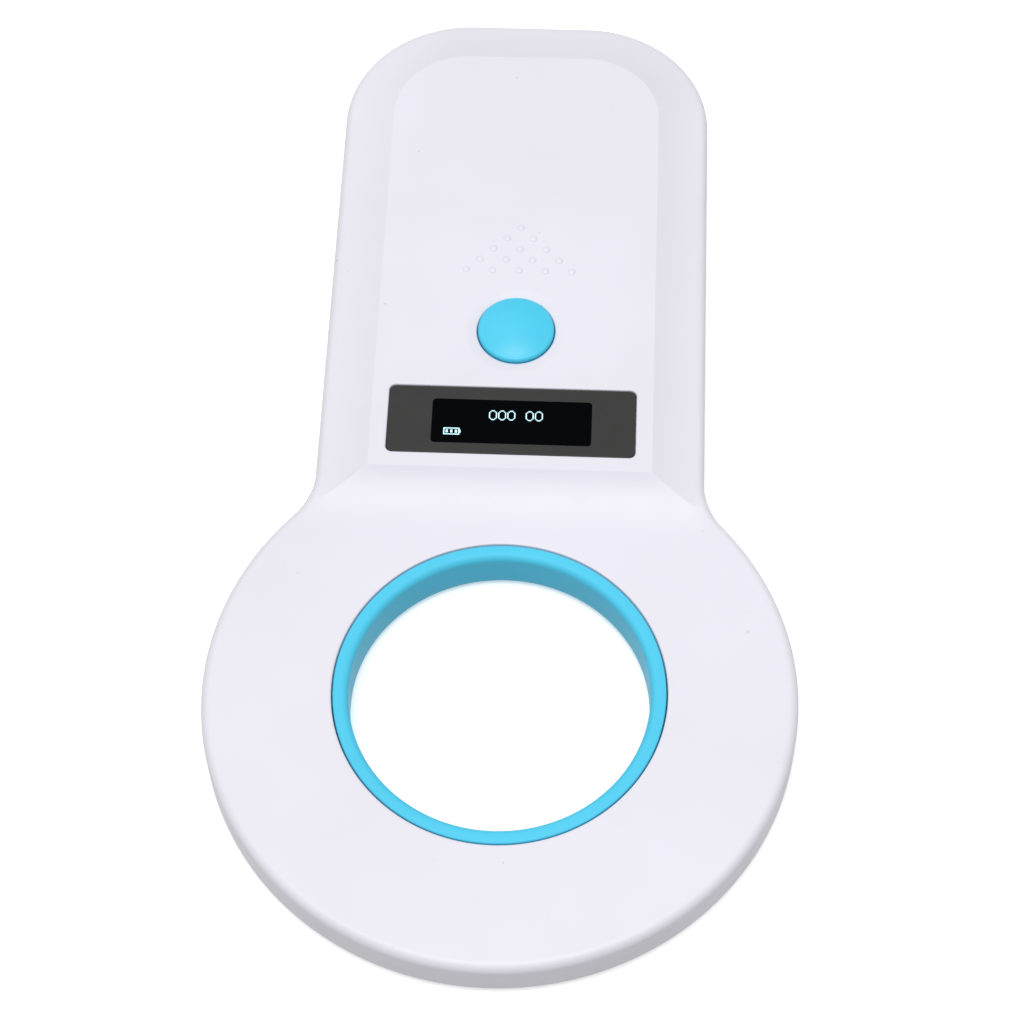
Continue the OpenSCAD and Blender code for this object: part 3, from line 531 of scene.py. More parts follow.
class TopForm:
    """Heights of the upper surface: ring, hollow front slope, handle rim, slopes and panel.

    The inner skin is the same form, inset by the wall and dropped by the roof."""

    tilt = math.radians(13)     # of the side slopes at the rim
    fade = 2.5 * MM             # over which that tilt grows, from the mitre on
    slope_rows = 9
    halvings = 40

    def __init__(self, shell, edge_r, inset, drop):
        self.edge_r, self.inset = edge_r, inset
        crease_in = 0.4 * MM if inset else 0
        self.ring_z = RING_TOP - drop
        self.rim_z = self.ring_z + shell.rim_rise
        self.panel_z = self.ring_z + shell.panel_rise
        self.r = shell.slope_r
        self.crease_y = RING_Y + shell.crease_from_ring
        run = math.sqrt(self.r ** 2 - (self.r - shell.panel_rise) ** 2)
        self.start_y = self.crease_y - run
        self.half = shell.handle_half
        self.panel_half = shell.panel_half - crease_in
        self.panel_end = END_Y - shell.panel_end - crease_in
        self.panel_corner_r = shell.panel_corner_r
        self.side_end = END_Y - shell.corner_r
        self.corner_r = shell.corner_r
        level = self.edge_level(self.tilt)
        self.mitre_y = self.start_y + math.sqrt(self.r ** 2 - (self.r - level + self.ring_z) ** 2)

    def edge_level(self, tilt):
        """Height where the rounded edge ends on the rim."""
        return self.rim_z - self.edge_r * (1 - math.cos(tilt))

    def ramp(self, y):
        """Height of the front slope."""
        s = max(0.0, min(y, self.crease_y) - self.start_y) / self.r
        return self.ring_z + self.r * (1 - math.sqrt(1 - s * s))

    def border(self, p, out):
        """Where the rounded edge ends and the top begins: (point, tilt of the edge there)."""
        near = p.y - out.y * self.edge_r
        share = max(0.0, min(1.0, (near - self.mitre_y) / self.fade))
        tilt = self.tilt * share * share * (3 - 2 * share)
        at = p - out * (self.inset + self.edge_r * (1 - math.sin(tilt)))
        z = min(self.ramp(at.y), self.edge_level(tilt)) if at.y > self.start_y else self.ring_z
        return Vector((at.x, at.y, z)), tilt

    def side_slope(self, run, rise, share):
        """Distance in and height up a hollow slope, at a share of its arc."""
        chord = math.hypot(run, rise)
        if chord < TINY:
            return 0.0, 0.0
        mean = math.atan2(rise, run)
        first = min(self.tilt, 0.6 * mean)
        bend = 2 * (mean - first)
        if bend < ALONG:
            return run * share, rise * share
        r = chord / (2 * math.sin(bend / 2))
        a = first + bend * share
        return r * (math.sin(a) - math.sin(first)), r * (math.cos(first) - math.cos(a))

    def mitre_x(self, y):
        """Where the side slope is as high as the front slope."""
        outer = self.half - self.inset - self.edge_r * (1 - math.sin(self.tilt))
        low = self.edge_level(self.tilt)
        target = self.ramp(y) - low
        run, rise = outer - self.panel_half, self.panel_z - low
        a, b = 0.0, 1.0
        for _ in range(self.halvings):
            middle = (a + b) / 2
            a, b = (middle, b) if self.side_slope(run, rise, middle)[1] < target else (a, middle)
        return outer - self.side_slope(run, rise, (a + b) / 2)[0]

    def inner_end(self, p, out, start):
        """Where the slope that starts at a border point ends: on the crease or the mitre."""
        sign = 1 if p.x >= 0 else -1
        if start.y < self.crease_y - NEAR:
            return Vector((sign * self.mitre_x(start.y), start.y, self.ramp(start.y)))
        corner_y = self.panel_end - self.panel_corner_r
        if out.y < ALONG:
            share = (start.y - self.crease_y) / (self.side_end - self.crease_y)
            y = self.crease_y + (corner_y - self.crease_y) * share
            return Vector((sign * self.panel_half, y, self.panel_z))
        if out.y > 1 - ALONG:
            scale = (self.panel_half - self.panel_corner_r) / (self.half - self.corner_r)
            return Vector((p.x * scale, self.panel_end, self.panel_z))
        x = self.panel_half - self.panel_corner_r + self.panel_corner_r * abs(out.x)
        return Vector((sign * x, corner_y + self.panel_corner_r * out.y, self.panel_z))


def top_skin(bm, form, outline, edge_steps, lower_rows, ring_holes, panel_holes):
    """One skin of the upper shell, outer or inner: top, slopes, panel, rounded edge and wall.

    Returns the points on its creases."""
    starts = [form.border(p, out) for p, out in outline]
    count = len(outline)
    on_handle = [i for i in range(count) if starts[i][0].y > form.mitre_y + NEAR]
    ends = {i: form.inner_end(*outline[i], starts[i][0]) for i in on_handle}

    # The slopes down both sides and round the handle's end.
    rows = []
    for k in range(form.slope_rows + 1):
        row = []
        for i in on_handle:
            a, b = starts[i][0], ends[i]
            run = math.hypot(b.x - a.x, b.y - a.y)
            s, h = form.side_slope(run, b.z - a.z, k / form.slope_rows)
            share = s / run if run > TINY else 0
            row.append(Vector((a.x + (b.x - a.x) * share, a.y + (b.y - a.y) * share, a.z + h)))
        rows.append(row)
    loft(bm, rows, closed=False)

    # The front slope, below and above the mitre's lower end, and the band between the two.
    ramp_rows = []
    for i in range(count // 2):
        a = starts[i][0]
        if a.y > form.crease_y + NEAR:
            break
        following = starts[i + 1][0]
        if following.y > form.start_y and outline[i][0].y > RING_Y:
            ramp_rows.append(ends.get(i, a))
    across = 24

    def ramp_row(p):
        return [Vector((p.x * (1 - 2 * k / across), p.y, p.z)) for k in range(across + 1)]

    lower = [ramp_row(p) for p in ramp_rows if p.y < form.mitre_y]
    upper = [ramp_row(p) for p in ramp_rows if p.y >= form.mitre_y]
    loft(bm, lower, closed=False)
    loft(bm, upper, closed=False)
    right_side, left_side = [row[0] for row in rows], [row[-1] for row in rows]
    fill(bm, lower[-1] + left_side[:-1] + upper[0][::-1] + right_side[-2::-1])

    # The ring's flat, and the panel.
    first = ramp_rows[0]
    ring_edge = [starts[i][0] for i in range(count)
                 if starts[i][0].y <= first.y + TINY and outline[i][0].y < 0]
    right = [p for p in ring_edge if p.x > TINY]
    near = [p for p in ring_edge if abs(p.x) <= TINY]
    left = [Vector((-p.x, p.y, p.z)) for p in reversed(right)]
    fill(bm, near + right + ramp_row(first)[1:-1] + left, *ring_holes)

    crease = ramp_row(ramp_rows[-1])
    rim = [ends[i] for i in on_handle if ends[i].y > form.crease_y + NEAR]
    fill(bm, rim + list(reversed(crease)), *panel_holes)

    # The rounded edge and the wall; a wall row stays a step under the edge where the ring is low.
    step = 0.1 * MM
    wall = []
    for k in range(edge_steps + 1):
        row = []
        for (p, out), (start, tilt) in zip(outline, starts):
            a = tilt + (math.pi / 2 - tilt) * k / edge_steps
            centre_z = start.z - form.edge_r * math.cos(tilt)
            at = p - out * (form.inset + form.edge_r * (1 - math.sin(a)))
            row.append(Vector((at.x, at.y, centre_z + form.edge_r * math.cos(a))))
        wall.append(row)
    last = wall[-1]
    for inset, z in lower_rows:
        wall.append([Vector((*(p - out * (form.inset + inset)), min(z, top.z - step)))
                     for (p, out), top in zip(outline, last)])
    loft(bm, wall)
    return [ends[i] for i in on_handle] + crease


def cut_slot(bm):
    """Cuts the charging socket's slot through the end wall and joins its two outlines."""
    margin, depth = 0.05 * MM, 3 * MM
    low, high = SLOT_Z[0] - margin, SLOT_Z[1] + margin
    faces = [f for f in bm.faces
             if f.calc_center_median().y > END_Y - depth and abs(f.normal.y) > 0.99
             and all(abs(v.co.x) < SLOT_HALF + margin and low < v.co.z < high for v in f.verts)]
    around = [e for f in faces for e in f.edges if sum(g in faces for g in e.link_faces) == 1]
    bmesh.ops.delete(bm, geom=faces, context="FACES")
    bmesh.ops.bridge_loops(bm, edges=[e for e in set(around) if e.is_valid])


def round_creases(bm, creases, width):
    """Bevels the edges that run between crease points, where two faces meet at an angle."""
    least_angle = 0.1

    def spot(p):
        return tuple(round(c / MM, 2) for c in p)

    marked = {spot(p) for p in creases}
    edges = [e for e in bm.edges if len(e.link_faces) == 2
             and all(spot(v.co) in marked for v in e.verts) and e.calc_face_angle(0) > least_angle]
    bmesh.ops.bevel(bm, geom=edges, offset=width, segments=4, profile=0.5, affect="EDGES",
                    material=-1, clamp_overlap=True)


def foot_arc(r, start, end):
    """(inset, height) points along the body's lower rounded edge, from angle to angle."""
    return [(r * (1 - math.cos(a)), r * (1 - math.sin(a)))
            for a in (start + (end - start) * k / FOOT_STEPS for k in range(FOOT_STEPS + 1))]


def screw_places():
    """Where the seven shell screws stand: three on the ring and four on the handle."""
    reach, aside = 38.8 * MM, 23.2 * MM
    turns = [math.radians(a) for a in (-15, -90, -165)]
    ring = [Vector((reach * math.cos(a), RING_Y + reach * math.sin(a))) for a in turns]
    return ring + [Vector((side * aside, y * MM)) for side in (-1, 1) for y in (3.75, 59.75)]


def board_screw_places():
    """Where the board's four screws stand."""
    aside = 17 * MM
    return [Vector((side * aside, y * MM)) for side in (-1, 1) for y in (-4.25, 69.75)]


def window_rows(window, top, roof_z):
    """Rows down the window's recess, across its ledge, and up outside the frame under it."""
    gap, frame_w, least_r = 0.1 * MM, 1.3 * MM, 0.4 * MM
    ledge_z, frame_z = 9.65 * MM, 9 * MM
    w, h = WINDOW_SIZE[0] + 2 * gap, WINDOW_SIZE[1] + 2 * gap

    def row(grow, z):
        r = max(window.corner_r + grow, least_r)
        return flat(rounded_rectangle(0, WINDOW_Y, w + 2 * grow, h + 2 * grow, r), z)

    lip = ((0.24, 0), (0.15, 0.02), (0.06, 0.08), (0.015, 0.16), (0, 0.26))
    return [row(grow * MM, top - down * MM) for grow, down in lip] + [
        row(0, ledge_z), row(-window.ledge, ledge_z), row(-window.ledge, frame_z),
        row(frame_w, frame_z), row(frame_w, roof_z)]


def liner_rows(shell, inside_z):
    """Rows down the liner's hole, under the collar round it, and up outside the collar."""
    collar_z = 4.75 * MM
    lip = ((0.3, 0), (0.16, 0.03), (0.05, 0.12), (0, 0.28))
    rows = [(shell.liner_hole_r + grow * MM, RING_TOP - down * MM) for grow, down in lip]
    rows += [(shell.liner_hole_r, collar_z), (shell.collar_r, collar_z), (shell.collar_r, inside_z)]
    return [flat(circle(0, RING_Y, r, RING_SIDES), z) for r, z in rows]


def dish_rows(shell, top, roof_z):
    """Rows down the shallow dish round the button, and through its hole."""
    steps, lip = 7, 0.15 * MM
    hole_r, dish_r, deep = shell.button_hole_r, shell.dish_r, shell.dish_depth
    rows = [(dish_r + (hole_r + lip - dish_r) * s, top - deep * s * s * (2 - s))
            for s in (k / steps for k in range(steps + 1))]
    rows += [(hole_r + 0.04 * MM, top - deep - 0.08 * MM), (hole_r, top - deep - 0.2 * MM),
             (hole_r, roof_z)]
    return [flat(circle(0, CAP_Y, r), z) for r, z in rows]


def add_posts(bm, ring_roof, panel_roof):
    """Adds the posts that the shell screws and the board's screws go into."""
    joint_z, ring_end_y = 3.65 * MM, -20 * MM
    for p in screw_places():
        high = ring_roof + 0.4 * MM if p.y < ring_end_y else panel_roof - 0.2 * MM
        lathe(bm, [(0, high), (POST_R, high), (POST_R, joint_z), (PILOT_R, joint_z),
                   (PILOT_R, ring_roof), (0, ring_roof)], p.x, p.y, POST_SIDES)
    post_r, pilot_r, depth = 2 * MM, 0.9 * MM, 3 * MM
    low, high = BOARD_HIGH.z + 0.02 * MM, panel_roof + 0.3 * MM
    for p in board_screw_places():
        lathe(bm, [(0, high), (post_r, high), (post_r, low), (pilot_r, low),
                   (pilot_r, low + depth), (0, low + depth)], p.x, p.y, POST_SIDES)


def build_upper_shell(shell, window):
    """The upper shell: outer and inner skin, its holes, the socket's slot and the posts."""
    bm = bmesh.new()
    outline = body_outline(shell)
    r, seam = shell.lower_edge_r, shell.seam_z + shell.seam_gap / 2
    inner_edge_r = 0.3 * MM
    outer = TopForm(shell, shell.upper_edge_r, 0, 0)
    inner = TopForm(shell, inner_edge_r, shell.wall, shell.roof)
    top, roof_z = outer.panel_z, outer.panel_z - shell.roof
    recess = window_rows(window, top, roof_z)
    hole = liner_rows(shell, inner.ring_z)
    dish = dish_rows(shell, top, roof_z)

    slot_rows = [(0, z) for z in reversed(SLOT_Z)]
    foot = foot_arc(r, 0, math.asin((r - seam) / r))
    creases = top_skin(bm, outer, outline, 8, slot_rows + foot, [hole[0]], [recess[0], dish[0]])
    top_skin(bm, inner, outline, 3, slot_rows + [(0, seam)], [hole[-1]], [recess[-1], dish[-1]])
    for rows in (recess, hole, dish):
        loft(bm, rows)
    loft(bm, [flat(offset(outline, foot[-1][0]), seam), flat(offset(outline, shell.wall), seam)])
    weld(bm)
    bmesh.ops.recalc_face_normals(bm, faces=bm.faces[:])
    cut_slot(bm)
    round_creases(bm, creases, shell.crease_round)
    bm.normal_update()
    support(bm, outer.ring_z, 0.12 * MM)
    support(bm, top, 0.1 * MM)
    add_posts(bm, inner.ring_z, roof_z)
    material = moulded("moulded_shell", shell.finish, 0.42, flecks=True)
    return finish_piece(bm, "upper_shell", [material], "shell", "scanner", "top_shell", sharp=32)


def build_lower_shell(shell, material):
    """The lower shell: a floor with a tongue inside the seam, a collar and seven screw posts."""
    bm = bmesh.new()
    outline = body_outline(shell)
    r, seam, floor = shell.lower_edge_r, shell.seam_z - shell.seam_gap / 2, shell.floor
    tongue_out, tongue_in, tongue_z = 1.95 * MM, 2.95 * MM, 2.4 * MM
    sections = [(tongue_in, floor), (tongue_in, tongue_z), (tongue_out, tongue_z),
                (tongue_out, seam)] + foot_arc(r, math.asin((r - seam) / r), math.pi / 2)
    rows = [flat(offset(outline, inset), z) for inset, z in sections]
    loft(bm, rows)

    hole_r, collar_r, collar_z = shell.liner_hole_r, shell.collar_r, 3.25 * MM
    hole = [(hole_r + 0.4 * MM, 0), (hole_r + 0.12 * MM, 0.1 * MM), (hole_r, 0.4 * MM),
            (hole_r, collar_z), (collar_r, collar_z), (collar_r, floor)]
    head_r, head_z, post_z, lip = 1.95 * MM, 1.5 * MM, 3.6 * MM, 0.15 * MM
    recess = [(head_r + lip, 0), (head_r, lip), (head_r, head_z), (PILOT_R, head_z),
              (PILOT_R, post_z), (POST_R, post_z), (POST_R, floor)]
    holes = [[flat(circle(0, RING_Y, c, RING_SIDES), z) for c, z in hole]]
    holes += [[flat(circle(p.x, p.y, c, SCREW_SIDES), z) for c, z in recess]
              for p in screw_places()]
    for made in holes:
        loft(bm, made)
    fill(bm, rows[-1], *(made[0] for made in holes))
    fill(bm, rows[0], *(made[-1] for made in holes))
    weld(bm)
    bm.normal_update()
    support(bm, 0, 0.12 * MM)
    return finish_piece(bm, "lower_shell", [material], "shell", "scanner", "bottom_shell", sharp=32)


def build_dots(dots, shell, material):
    """The raised dots: low domes set a little into the panel."""
    bm = bmesh.new()
    z, sunk = RING_TOP + shell.panel_rise, 0.08 * MM
    for row in range(dots.rows):
        for i in range(row + 1):
            x = (i - row / 2) * dots.pitch
            y = RING_Y + dots.base_from_ring + (dots.rows - 1 - row) * dots.row_pitch
            rise = Matrix.Translation((x, y, z - sunk)) @ Matrix.Diagonal(
                (dots.radius, dots.radius, dots.rise + sunk, 1))
            bmesh.ops.create_uvsphere(bm, u_segments=24, v_segments=12, radius=1, matrix=rise)
    return finish_piece(bm, "raised_dots", [material], "shell", "scanner", sharp=60)


class SCANNER_OT_shells(bpy.types.Operator):
    """Builds the two moulded shells and the raised dots"""

    bl_idname = "scanner.shells"
    bl_label = "Shells"

    def execute(self, context):
        shell = context.scene.scanner_shell
        upper = build_upper_shell(shell, context.scene.scanner_window)
        material = upper.data.materials[0]
        build_lower_shell(shell, material)
        build_dots(context.scene.scanner_dots, shell, material)
        return {"FINISHED"}


class SCANNER_OT_liner(bpy.types.Operator):
    """Turns the coloured liner of the ring"""

    bl_idname = "scanner.liner"
    bl_label = "Ring liner"

    def execute(self, context):
        s = context.scene.scanner_liner
        top, r0, r1, flange_r = RING_TOP, s.bore_r, s.outer_r, LINER_HIGH.x
        high, low = s.flange_high, s.flange_low
        soft, lip, fillet, chamfer = 0.25 * MM, 0.12 * MM, 0.2 * MM, 0.15 * MM
        profile = round_corner(r0 + s.bottom_round, s.bottom_round, s.bottom_round, 270, 180, 10)
        profile += round_corner(r0 + s.top_round, top - s.top_round, s.top_round, 180, 90, 8)
        profile += [(r1 - 3 * soft, top - lip * 0.3)]
        profile += round_corner(r1 - soft, top - lip * 0.6 - soft, soft, 90, 0, 5)
        profile += [(r1, high + fillet), (r1 + fillet, high), (flange_r - chamfer, high),
                    (flange_r, high - chamfer), (flange_r, low + chamfer),
                    (flange_r - chamfer, low), (r1, low)]
        profile += round_corner(r1 - soft, soft, soft, 0, -90, 5)
        bm = bmesh.new()
        lathe(bm, profile, 0, RING_Y, 224)
        material = cyan_plastic("liner_plastic", s.finish, 0.4, 0.12)
        finish_piece(bm, "cyan_liner", [material], "cyan_plastic", "scanner", "ring_liner")
        return {"FINISHED"}


class SCANNER_OT_button(bpy.types.Operator):
    """Turns the domed button with its flange and stem"""

    bl_idname = "scanner.button"
    bl_label = "Button"

    def execute(self, context):
        s = context.scene.scanner_button
        edge_z = RING_TOP + context.scene.scanner_shell.panel_rise + s.edge_rise
        crown = CAP_HIGH.z - edge_z
        dome_r = (s.radius ** 2 + crown ** 2) / (2 * crown)
        soft, steps = s.edge_round, 12
        profile = []
        for k in range(steps + 1):
            x = (s.radius - soft) * k / steps
            profile.append((x, CAP_HIGH.z - dome_r + math.sqrt(dome_r ** 2 - x ** 2)))
        x, z = profile[-1]
        profile += round_corner(x, z - soft, soft, 72, 0, 6)
        flange_r, high, inner_r = s.radius + s.flange, 9.3 * MM, s.radius - s.wall
        low, roof, stem_low = high - s.flange_t, edge_z - s.wall, CAP_LOW.z
        fillet, chamfer, root, tip = 0.2 * MM, 0.1 * MM, 0.3 * MM, 0.15 * MM
        profile += [(s.radius, high + fillet), (s.radius + fillet, high),
                    (flange_r - chamfer, high), (flange_r, high - chamfer), (flange_r, low),
                    (inner_r, low), (inner_r, roof - root), (inner_r - root, roof),
                    (s.stem_r + root, roof), (s.stem_r, roof - root), (s.stem_r, stem_low + tip),
                    (s.stem_r - tip, stem_low), (0, stem_low)]
        bm = bmesh.new()
        lathe(bm, profile, 0, CAP_Y, 128)
        material = cyan_plastic("button_plastic", s.finish, 0.36, 0.4)
        finish_piece(bm, "press_button", [material], "cyan_plastic", "button", "button_cap")
        return {"FINISHED"}


# The display's dots, by column and line.
COLUMNS, LINES = 128, 32
ZERO = ("..###..",
        ".#...#.",
        *["#.....#"] * 6,
        ".#...#.",
        "..###..")
CELL = (".##############",
        ".#............#",
        "##.##..##..##.#",
        "##.##..##..##.#",
        "##.##..##..##.#",
        ".#............#",
        ".##############")


# Each mark with its first column and line.
MARKS = [(ZERO, column, 18) for column in (37, 45, 61, 69, 77)] + [(CELL, 108, 2)]


class SCANNER_OT_display(bpy.types.Operator):
    """Builds the dark window, and the lit dots in its clear area"""

    bl_idname = "scanner.display"
    bl_label = "Display"

    def execute(self, context):
        s = context.scene.scanner_window
        self.build_window(s)
        self.build_picture(s)
        return {"FINISHED"}

    def build_window(self, s):
        w, h = WINDOW_SIZE
        low, high = WINDOW_LOW.z, WINDOW_HIGH.z
        soft = 0.1 * MM

        bm = bmesh.new()
        border = [plate(WINDOW_Y, w, h, s.corner_r, grow, z) for grow, z in
                  ((0, low), (0, high - soft), (-soft * 0.3, high - soft * 0.3), (-soft, high))]
        clear = [plate(PICTURE_Y + s.opening_y, s.opening_w, s.opening_h, s.opening_r, grow, z)
                 for grow, z in ((0, high), (-s.opening_d * 0.5, high - s.opening_d))]
        loft(bm, border)
        fill(bm, border[0])
        fill(bm, border[-1], clear[0])
        masked = set(bm.faces)
        loft(bm, clear)
        fill(bm, clear[-1])
        for f in set(bm.faces) - masked:
            f.material_index = 1
        weld(bm)
        bm.normal_update()
        support(bm, high, 0.05 * MM)
        mask = dark_glass("window_mask", s.mask, 0.22, dust=True)
        black = dark_glass("window_clear", (0.0012, 0.0014, 0.002), 0.08, level=0.012)
        finish_piece(bm, "dark_window", [mask, black], "dark_window", "scanner", "display_window")

    def build_picture(self, s):
        """Two and three round figures, and a battery mark."""
        bm = bmesh.new()
        z = WINDOW_HIGH.z - s.opening_d + 0.012 * MM
        size = Matrix.Diagonal((s.dot_size, s.dot_size, 0.02 * MM, 1))
        for shape, column, line in MARKS:
            for j, text in enumerate(shape):
                for i, sign in enumerate(text):
                    if sign == "#":
                        x = ((COLUMNS - 1) / 2 - column - i) * s.dot_pitch
                        y = PICTURE_Y + s.opening_y - ((LINES - 1) / 2 - line - j) * s.dot_pitch
                        bmesh.ops.create_cube(bm, size=1,
                                              matrix=Matrix.Translation((x, y, z)) @ size)
        material = glowing("lit_dots", s.glow, 1.5)
        finish_piece(bm, "display_picture", [material], "display_glass", "scanner")


class SCANNER_OT_screws(bpy.types.Operator):
    """Builds the seven screws that hold the shells together"""

    bl_idname = "scanner.screws"
    bl_label = "Shell screws"

    def execute(self, context):
        bm = bmesh.new()
        low, tip = SCREWS_LOW.z, SCREWS_HIGH.z
        head_r, thread_r, core_r, tip_r = 1.85 * MM, 1.0 * MM, 0.78 * MM, 0.3 * MM
        face_r, under, pitch = head_r - 0.25 * MM, low + 1.2 * MM, 0.6 * MM
        arm, slit, deep = 1.0 * MM, 0.21 * MM, 0.7 * MM
        profile = [(face_r, low), (head_r - 0.07 * MM, low + 0.08 * MM),
                   (head_r, low + 0.3 * MM), (head_r, under), (thread_r, under)]
        z = under + 0.2 * MM
        while z < tip - 1.2 * pitch:
            profile += [(core_r, z), (thread_r, z + pitch / 2)]
            z += pitch
        profile += [(core_r, z), (tip_r, tip)]
        for p in screw_places():
            cross = []
            for x, y in ((1, 0), (0, 1), (-1, 0), (0, -1)):
                along, side = Vector((x, y)), Vector((-y, x))
                cross += [p + along * arm - side * slit, p + along * arm + side * slit,
                          p + along * slit + side * slit]
            mouth, bottom = flat(cross, low), flat(cross, low + deep)
            loft(bm, [mouth, bottom])
            fill(bm, bottom)
            fill(bm, flat(circle(p.x, p.y, face_r, SCREW_SIDES), low), mouth)
            skin = [flat(circle(p.x, p.y, r, SCREW_SIDES), z) for r, z in profile]
            loft(bm, skin)
            fill(bm, skin[-1])
        material = metal("zinc_steel", (0.66, 0.67, 0.69), 0.3)
        finish_piece(bm, "case_screws", [material], "steel", "scanner", "shell_screws", sharp=30)
        return {"FINISHED"}


class SCANNER_OT_socket(bpy.types.Operator):
    """Builds the charging socket's rounded metal mouth"""

    bl_idname = "scanner.socket"
    bl_label = "Charging socket"

    def execute(self, context):
        bm = bmesh.new()
        w, h = SOCKET_HIGH.x - SOCKET_LOW.x, SOCKET_HIGH.z - SOCKET_LOW.z
        middle = (SOCKET_HIGH.z + SOCKET_LOW.z) / 2
        wall, back, round_back, lip = 0.3 * MM, 0.8 * MM, 0.2 * MM, 0.06 * MM

        def section(shrink, y):
            r = h * 0.42 - shrink
            return [Vector((p.x, y, p.y)) for p in
                    rounded_rectangle(0, middle, w - 2 * shrink, h - 2 * shrink, r, 8)]

        y0, y1 = SOCKET_LOW.y, SOCKET_HIGH.y
        rows = [section(round_back, y0), section(0, y0 + round_back), section(0, y1 - lip),
                section(lip, y1), section(wall - lip, y1), section(wall, y1 - lip),
                section(wall, y0 + back)]
        loft(bm, rows)
        for row in (rows[0], rows[-1]):
            bmesh.ops.contextual_create(bm, geom=row_of(bm, row)[1])
        material = bpy.data.materials["zinc_steel"]
        finish_piece(bm, "charging_socket", [material], "steel", "scanner", "usb_socket", sharp=30)
        return {"FINISHED"}


def inner_finishes():
    """The finish of the CAD nodes that stay: material, slot in the record, and their names."""
    black = moulded("black_plastic", (0.012, 0.012, 0.013), 0.4, vary=0.1)
    cream = moulded("cream_plastic", (0.72, 0.66, 0.5), 0.45, vary=0.05)
    chip = moulded("chip_resin", (0.015, 0.015, 0.017), 0.55, grain=3800, depth=0.01, vary=0.15)
    ceramic = moulded("ceramic", (0.45, 0.3, 0.17), 0.5, vary=0.12)
    glass = dark_glass("display_glass_black", (0.003, 0.003, 0.006))
    return (
        (winding("copper_winding", (0.72, 0.34, 0.16)), "copper", ["antenna_coil", "coil_leads"]),
        (film("black_tape", grey(0.02), 0.6), "black_tape", ["window_tape"]),
        (glass, "display_glass", ["display_glass"]),
        (sponge("foam_pad", grey(0.09)), "foam", ["display_foam"]),
        (black, "black_plastic", ["display_holder", "switch_case", "usb_tongue"]),
        (film("ribbon_film", (0.6, 0.26, 0.04), 0.35, 1500), "ribbon", ["display_ribbon"]),
        (cream, "cream_plastic",
         ["ribbon_connector", "switch_plunger", "battery_plug", "battery_header"]),
        (circuit_board("green_board", (0.012, 0.13, 0.045)), "board", ["main_board"]),
        (foil("battery_foil", (0.6, 0.61, 0.63)), "battery_foil", ["battery"]),
        (film("white_tape", (0.8, 0.8, 0.77), 0.55), "white_tape", ["battery_tape"]),
        (film("red_wire", (0.5, 0.02, 0.015), 0.4, 200), "wire", ["battery_wires"]),
        (chip, "chip", ["buzzer", "microcontroller", "reader_chip", "memory_chip", "charger_chip"]),
        (bpy.data.materials["zinc_steel"], "steel", ["crystal", "board_screws"]),
        (ceramic, "ceramic_part", ["coil_capacitors", "small_capacitors"]),
        (chip, "ceramic_part", ["small_resistors"]),
    )


class SCANNER_OT_inside(bpy.types.Operator):
    """Gives every inner part that stays as the CAD has it its own finish"""

    bl_idname = "scanner.inside"
    bl_label = "Inner parts"

    def execute(self, context):
        for material, slot, names in inner_finishes():
            for node in (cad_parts[name] for name in names):
                if not node.material_slots:
                    node.data.materials.append(material)
                for held in node.material_slots:
                    held.material = material
        return {"FINISHED"}


WHITE = (1, 1, 1, 1)
# The name, place and width in metres, and power in watts, of each light.
LIGHTS = (("key", (-0.04, -0.16, 1.1), 0.7, 8.0), ("back", (-0.3, 0.6, 0.9), 0.8, 1.2))


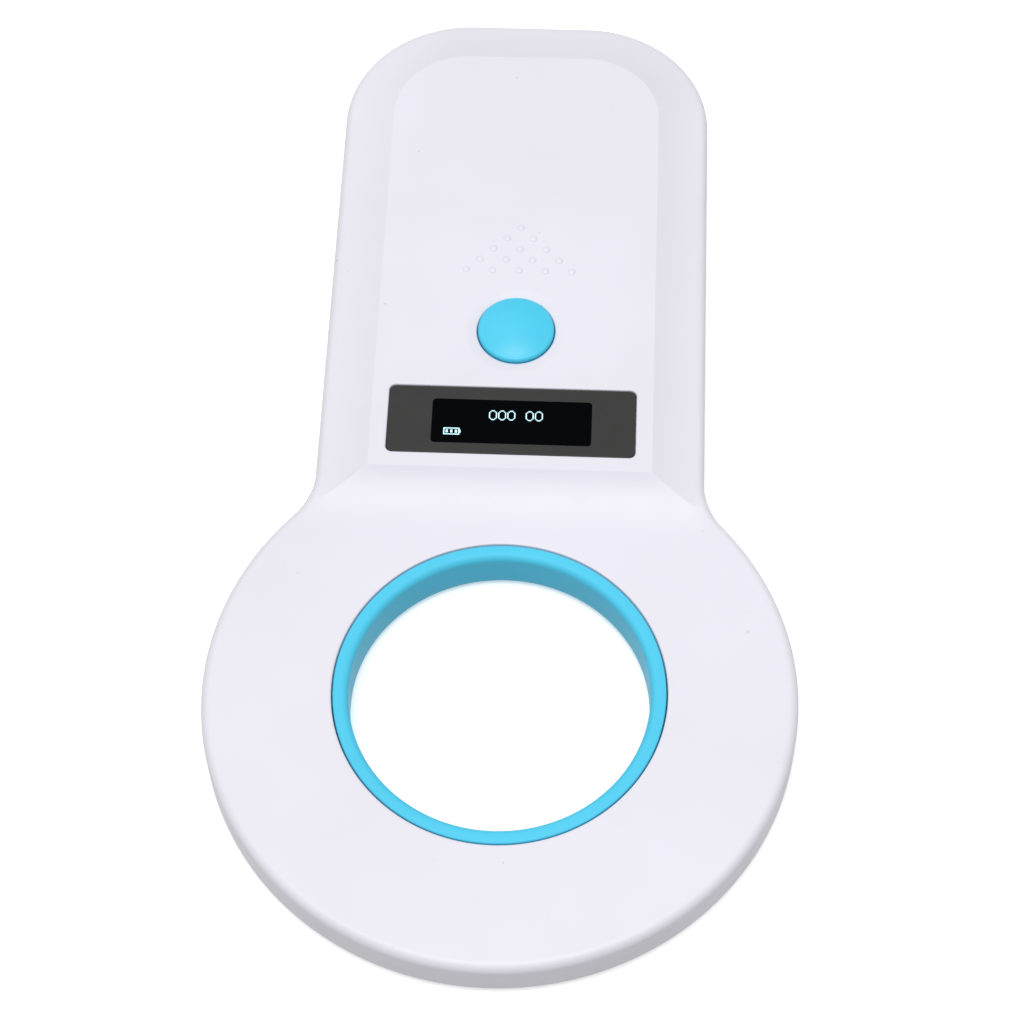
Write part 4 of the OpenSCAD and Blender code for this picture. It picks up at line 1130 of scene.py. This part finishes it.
class SCANNER_OT_stage(bpy.types.Operator):
    """Adds the floor, the lights and the camera"""

    bl_idname = "scanner.stage"
    bl_label = "Stage"

    def execute(self, context):
        s = context.scene.scanner_stage
        bm = bmesh.new()
        just_under = Matrix.Translation((0, 0, -0.02 * MM))
        bmesh.ops.create_grid(bm, x_segments=2, y_segments=2, size=s.floor_half, matrix=just_under)
        mesh = bpy.data.meshes.new("floor")
        bm.to_mesh(mesh)
        bm.free()
        n = Nodes("pale_floor", roughness=0.9, level=0.1)
        n.colour(n.ramp(n.noise(6, 2), [(0, grey(0.82)), (1, grey(0.84))]))
        preset(n.shader, {"Emission Color": WHITE, "Emission Strength": 0.4})
        mesh.materials.append(n.material)
        floor = show("floor", mesh)
        floor.visible_diffuse = False
        for light in LIGHTS:
            self.light(*light)
        world = bpy.data.worlds.new("studio")
        world.use_nodes = True
        preset(world.node_tree.nodes["Background"], {"Color": WHITE, "Strength": 0.46})
        context.scene.world = world
        data = bpy.data.cameras.new("camera")
        data.sensor_width = 36
        data.lens = s.lens
        data.clip_start = 10 * MM
        camera = show("camera", data)
        camera.location = s.camera_at
        camera.rotation_euler = s.camera_turn
        context.scene.camera = camera
        context.scene.view_settings.view_transform = "Standard"
        return {"FINISHED"}

    def light(self, name, place, size, power):
        data = bpy.data.lights.new(name, "AREA")
        data.shape = "DISK"
        data.size = size
        data.energy = power
        lamp = show(name, data)
        lamp.location = place
        lamp.rotation_euler = (-Vector(place)).to_track_quat("-Z", "Y").to_euler()


STEPS = (SCANNER_OT_shells, SCANNER_OT_liner, SCANNER_OT_button, SCANNER_OT_display,
         SCANNER_OT_screws, SCANNER_OT_socket, SCANNER_OT_inside, SCANNER_OT_stage)
SETTINGS = {"scanner_shell": ShellSettings, "scanner_dots": DotSettings,
            "scanner_liner": LinerSettings, "scanner_button": ButtonSettings,
            "scanner_window": WindowSettings, "scanner_stage": StageSettings}


class SCANNER_PT_panel(bpy.types.Panel):
    """Lists the scanner's settings and build steps"""

    bl_idname = "SCANNER_PT_panel"
    bl_label = "Microchip scanner"
    bl_space_type = "VIEW_3D"
    bl_region_type = "UI"
    bl_category = "Scanner"

    def draw(self, context):
        for step in STEPS:
            self.layout.operator(step.bl_idname)
        for name, group in SETTINGS.items():
            box = self.layout.box()
            held = getattr(context.scene, name)
            for key in group.__annotations__:
                box.prop(held, key)


def register():
    for group in SETTINGS.values():
        bpy.utils.register_class(group)
    for name, group in SETTINGS.items():
        setattr(bpy.types.Scene, name, bpy.props.PointerProperty(type=group))
    for step in STEPS + (SCANNER_PT_panel,):
        bpy.utils.register_class(step)


def unregister():
    for step in reversed(STEPS + (SCANNER_PT_panel,)):
        bpy.utils.unregister_class(step)
    for name, group in SETTINGS.items():
        delattr(bpy.types.Scene, name)
        bpy.utils.unregister_class(group)


def main():
    register()
    for step in STEPS:
        family, action = step.bl_idname.split(".")
        getattr(getattr(bpy.ops, family), action)()


if __name__ == "__main__":
    main()
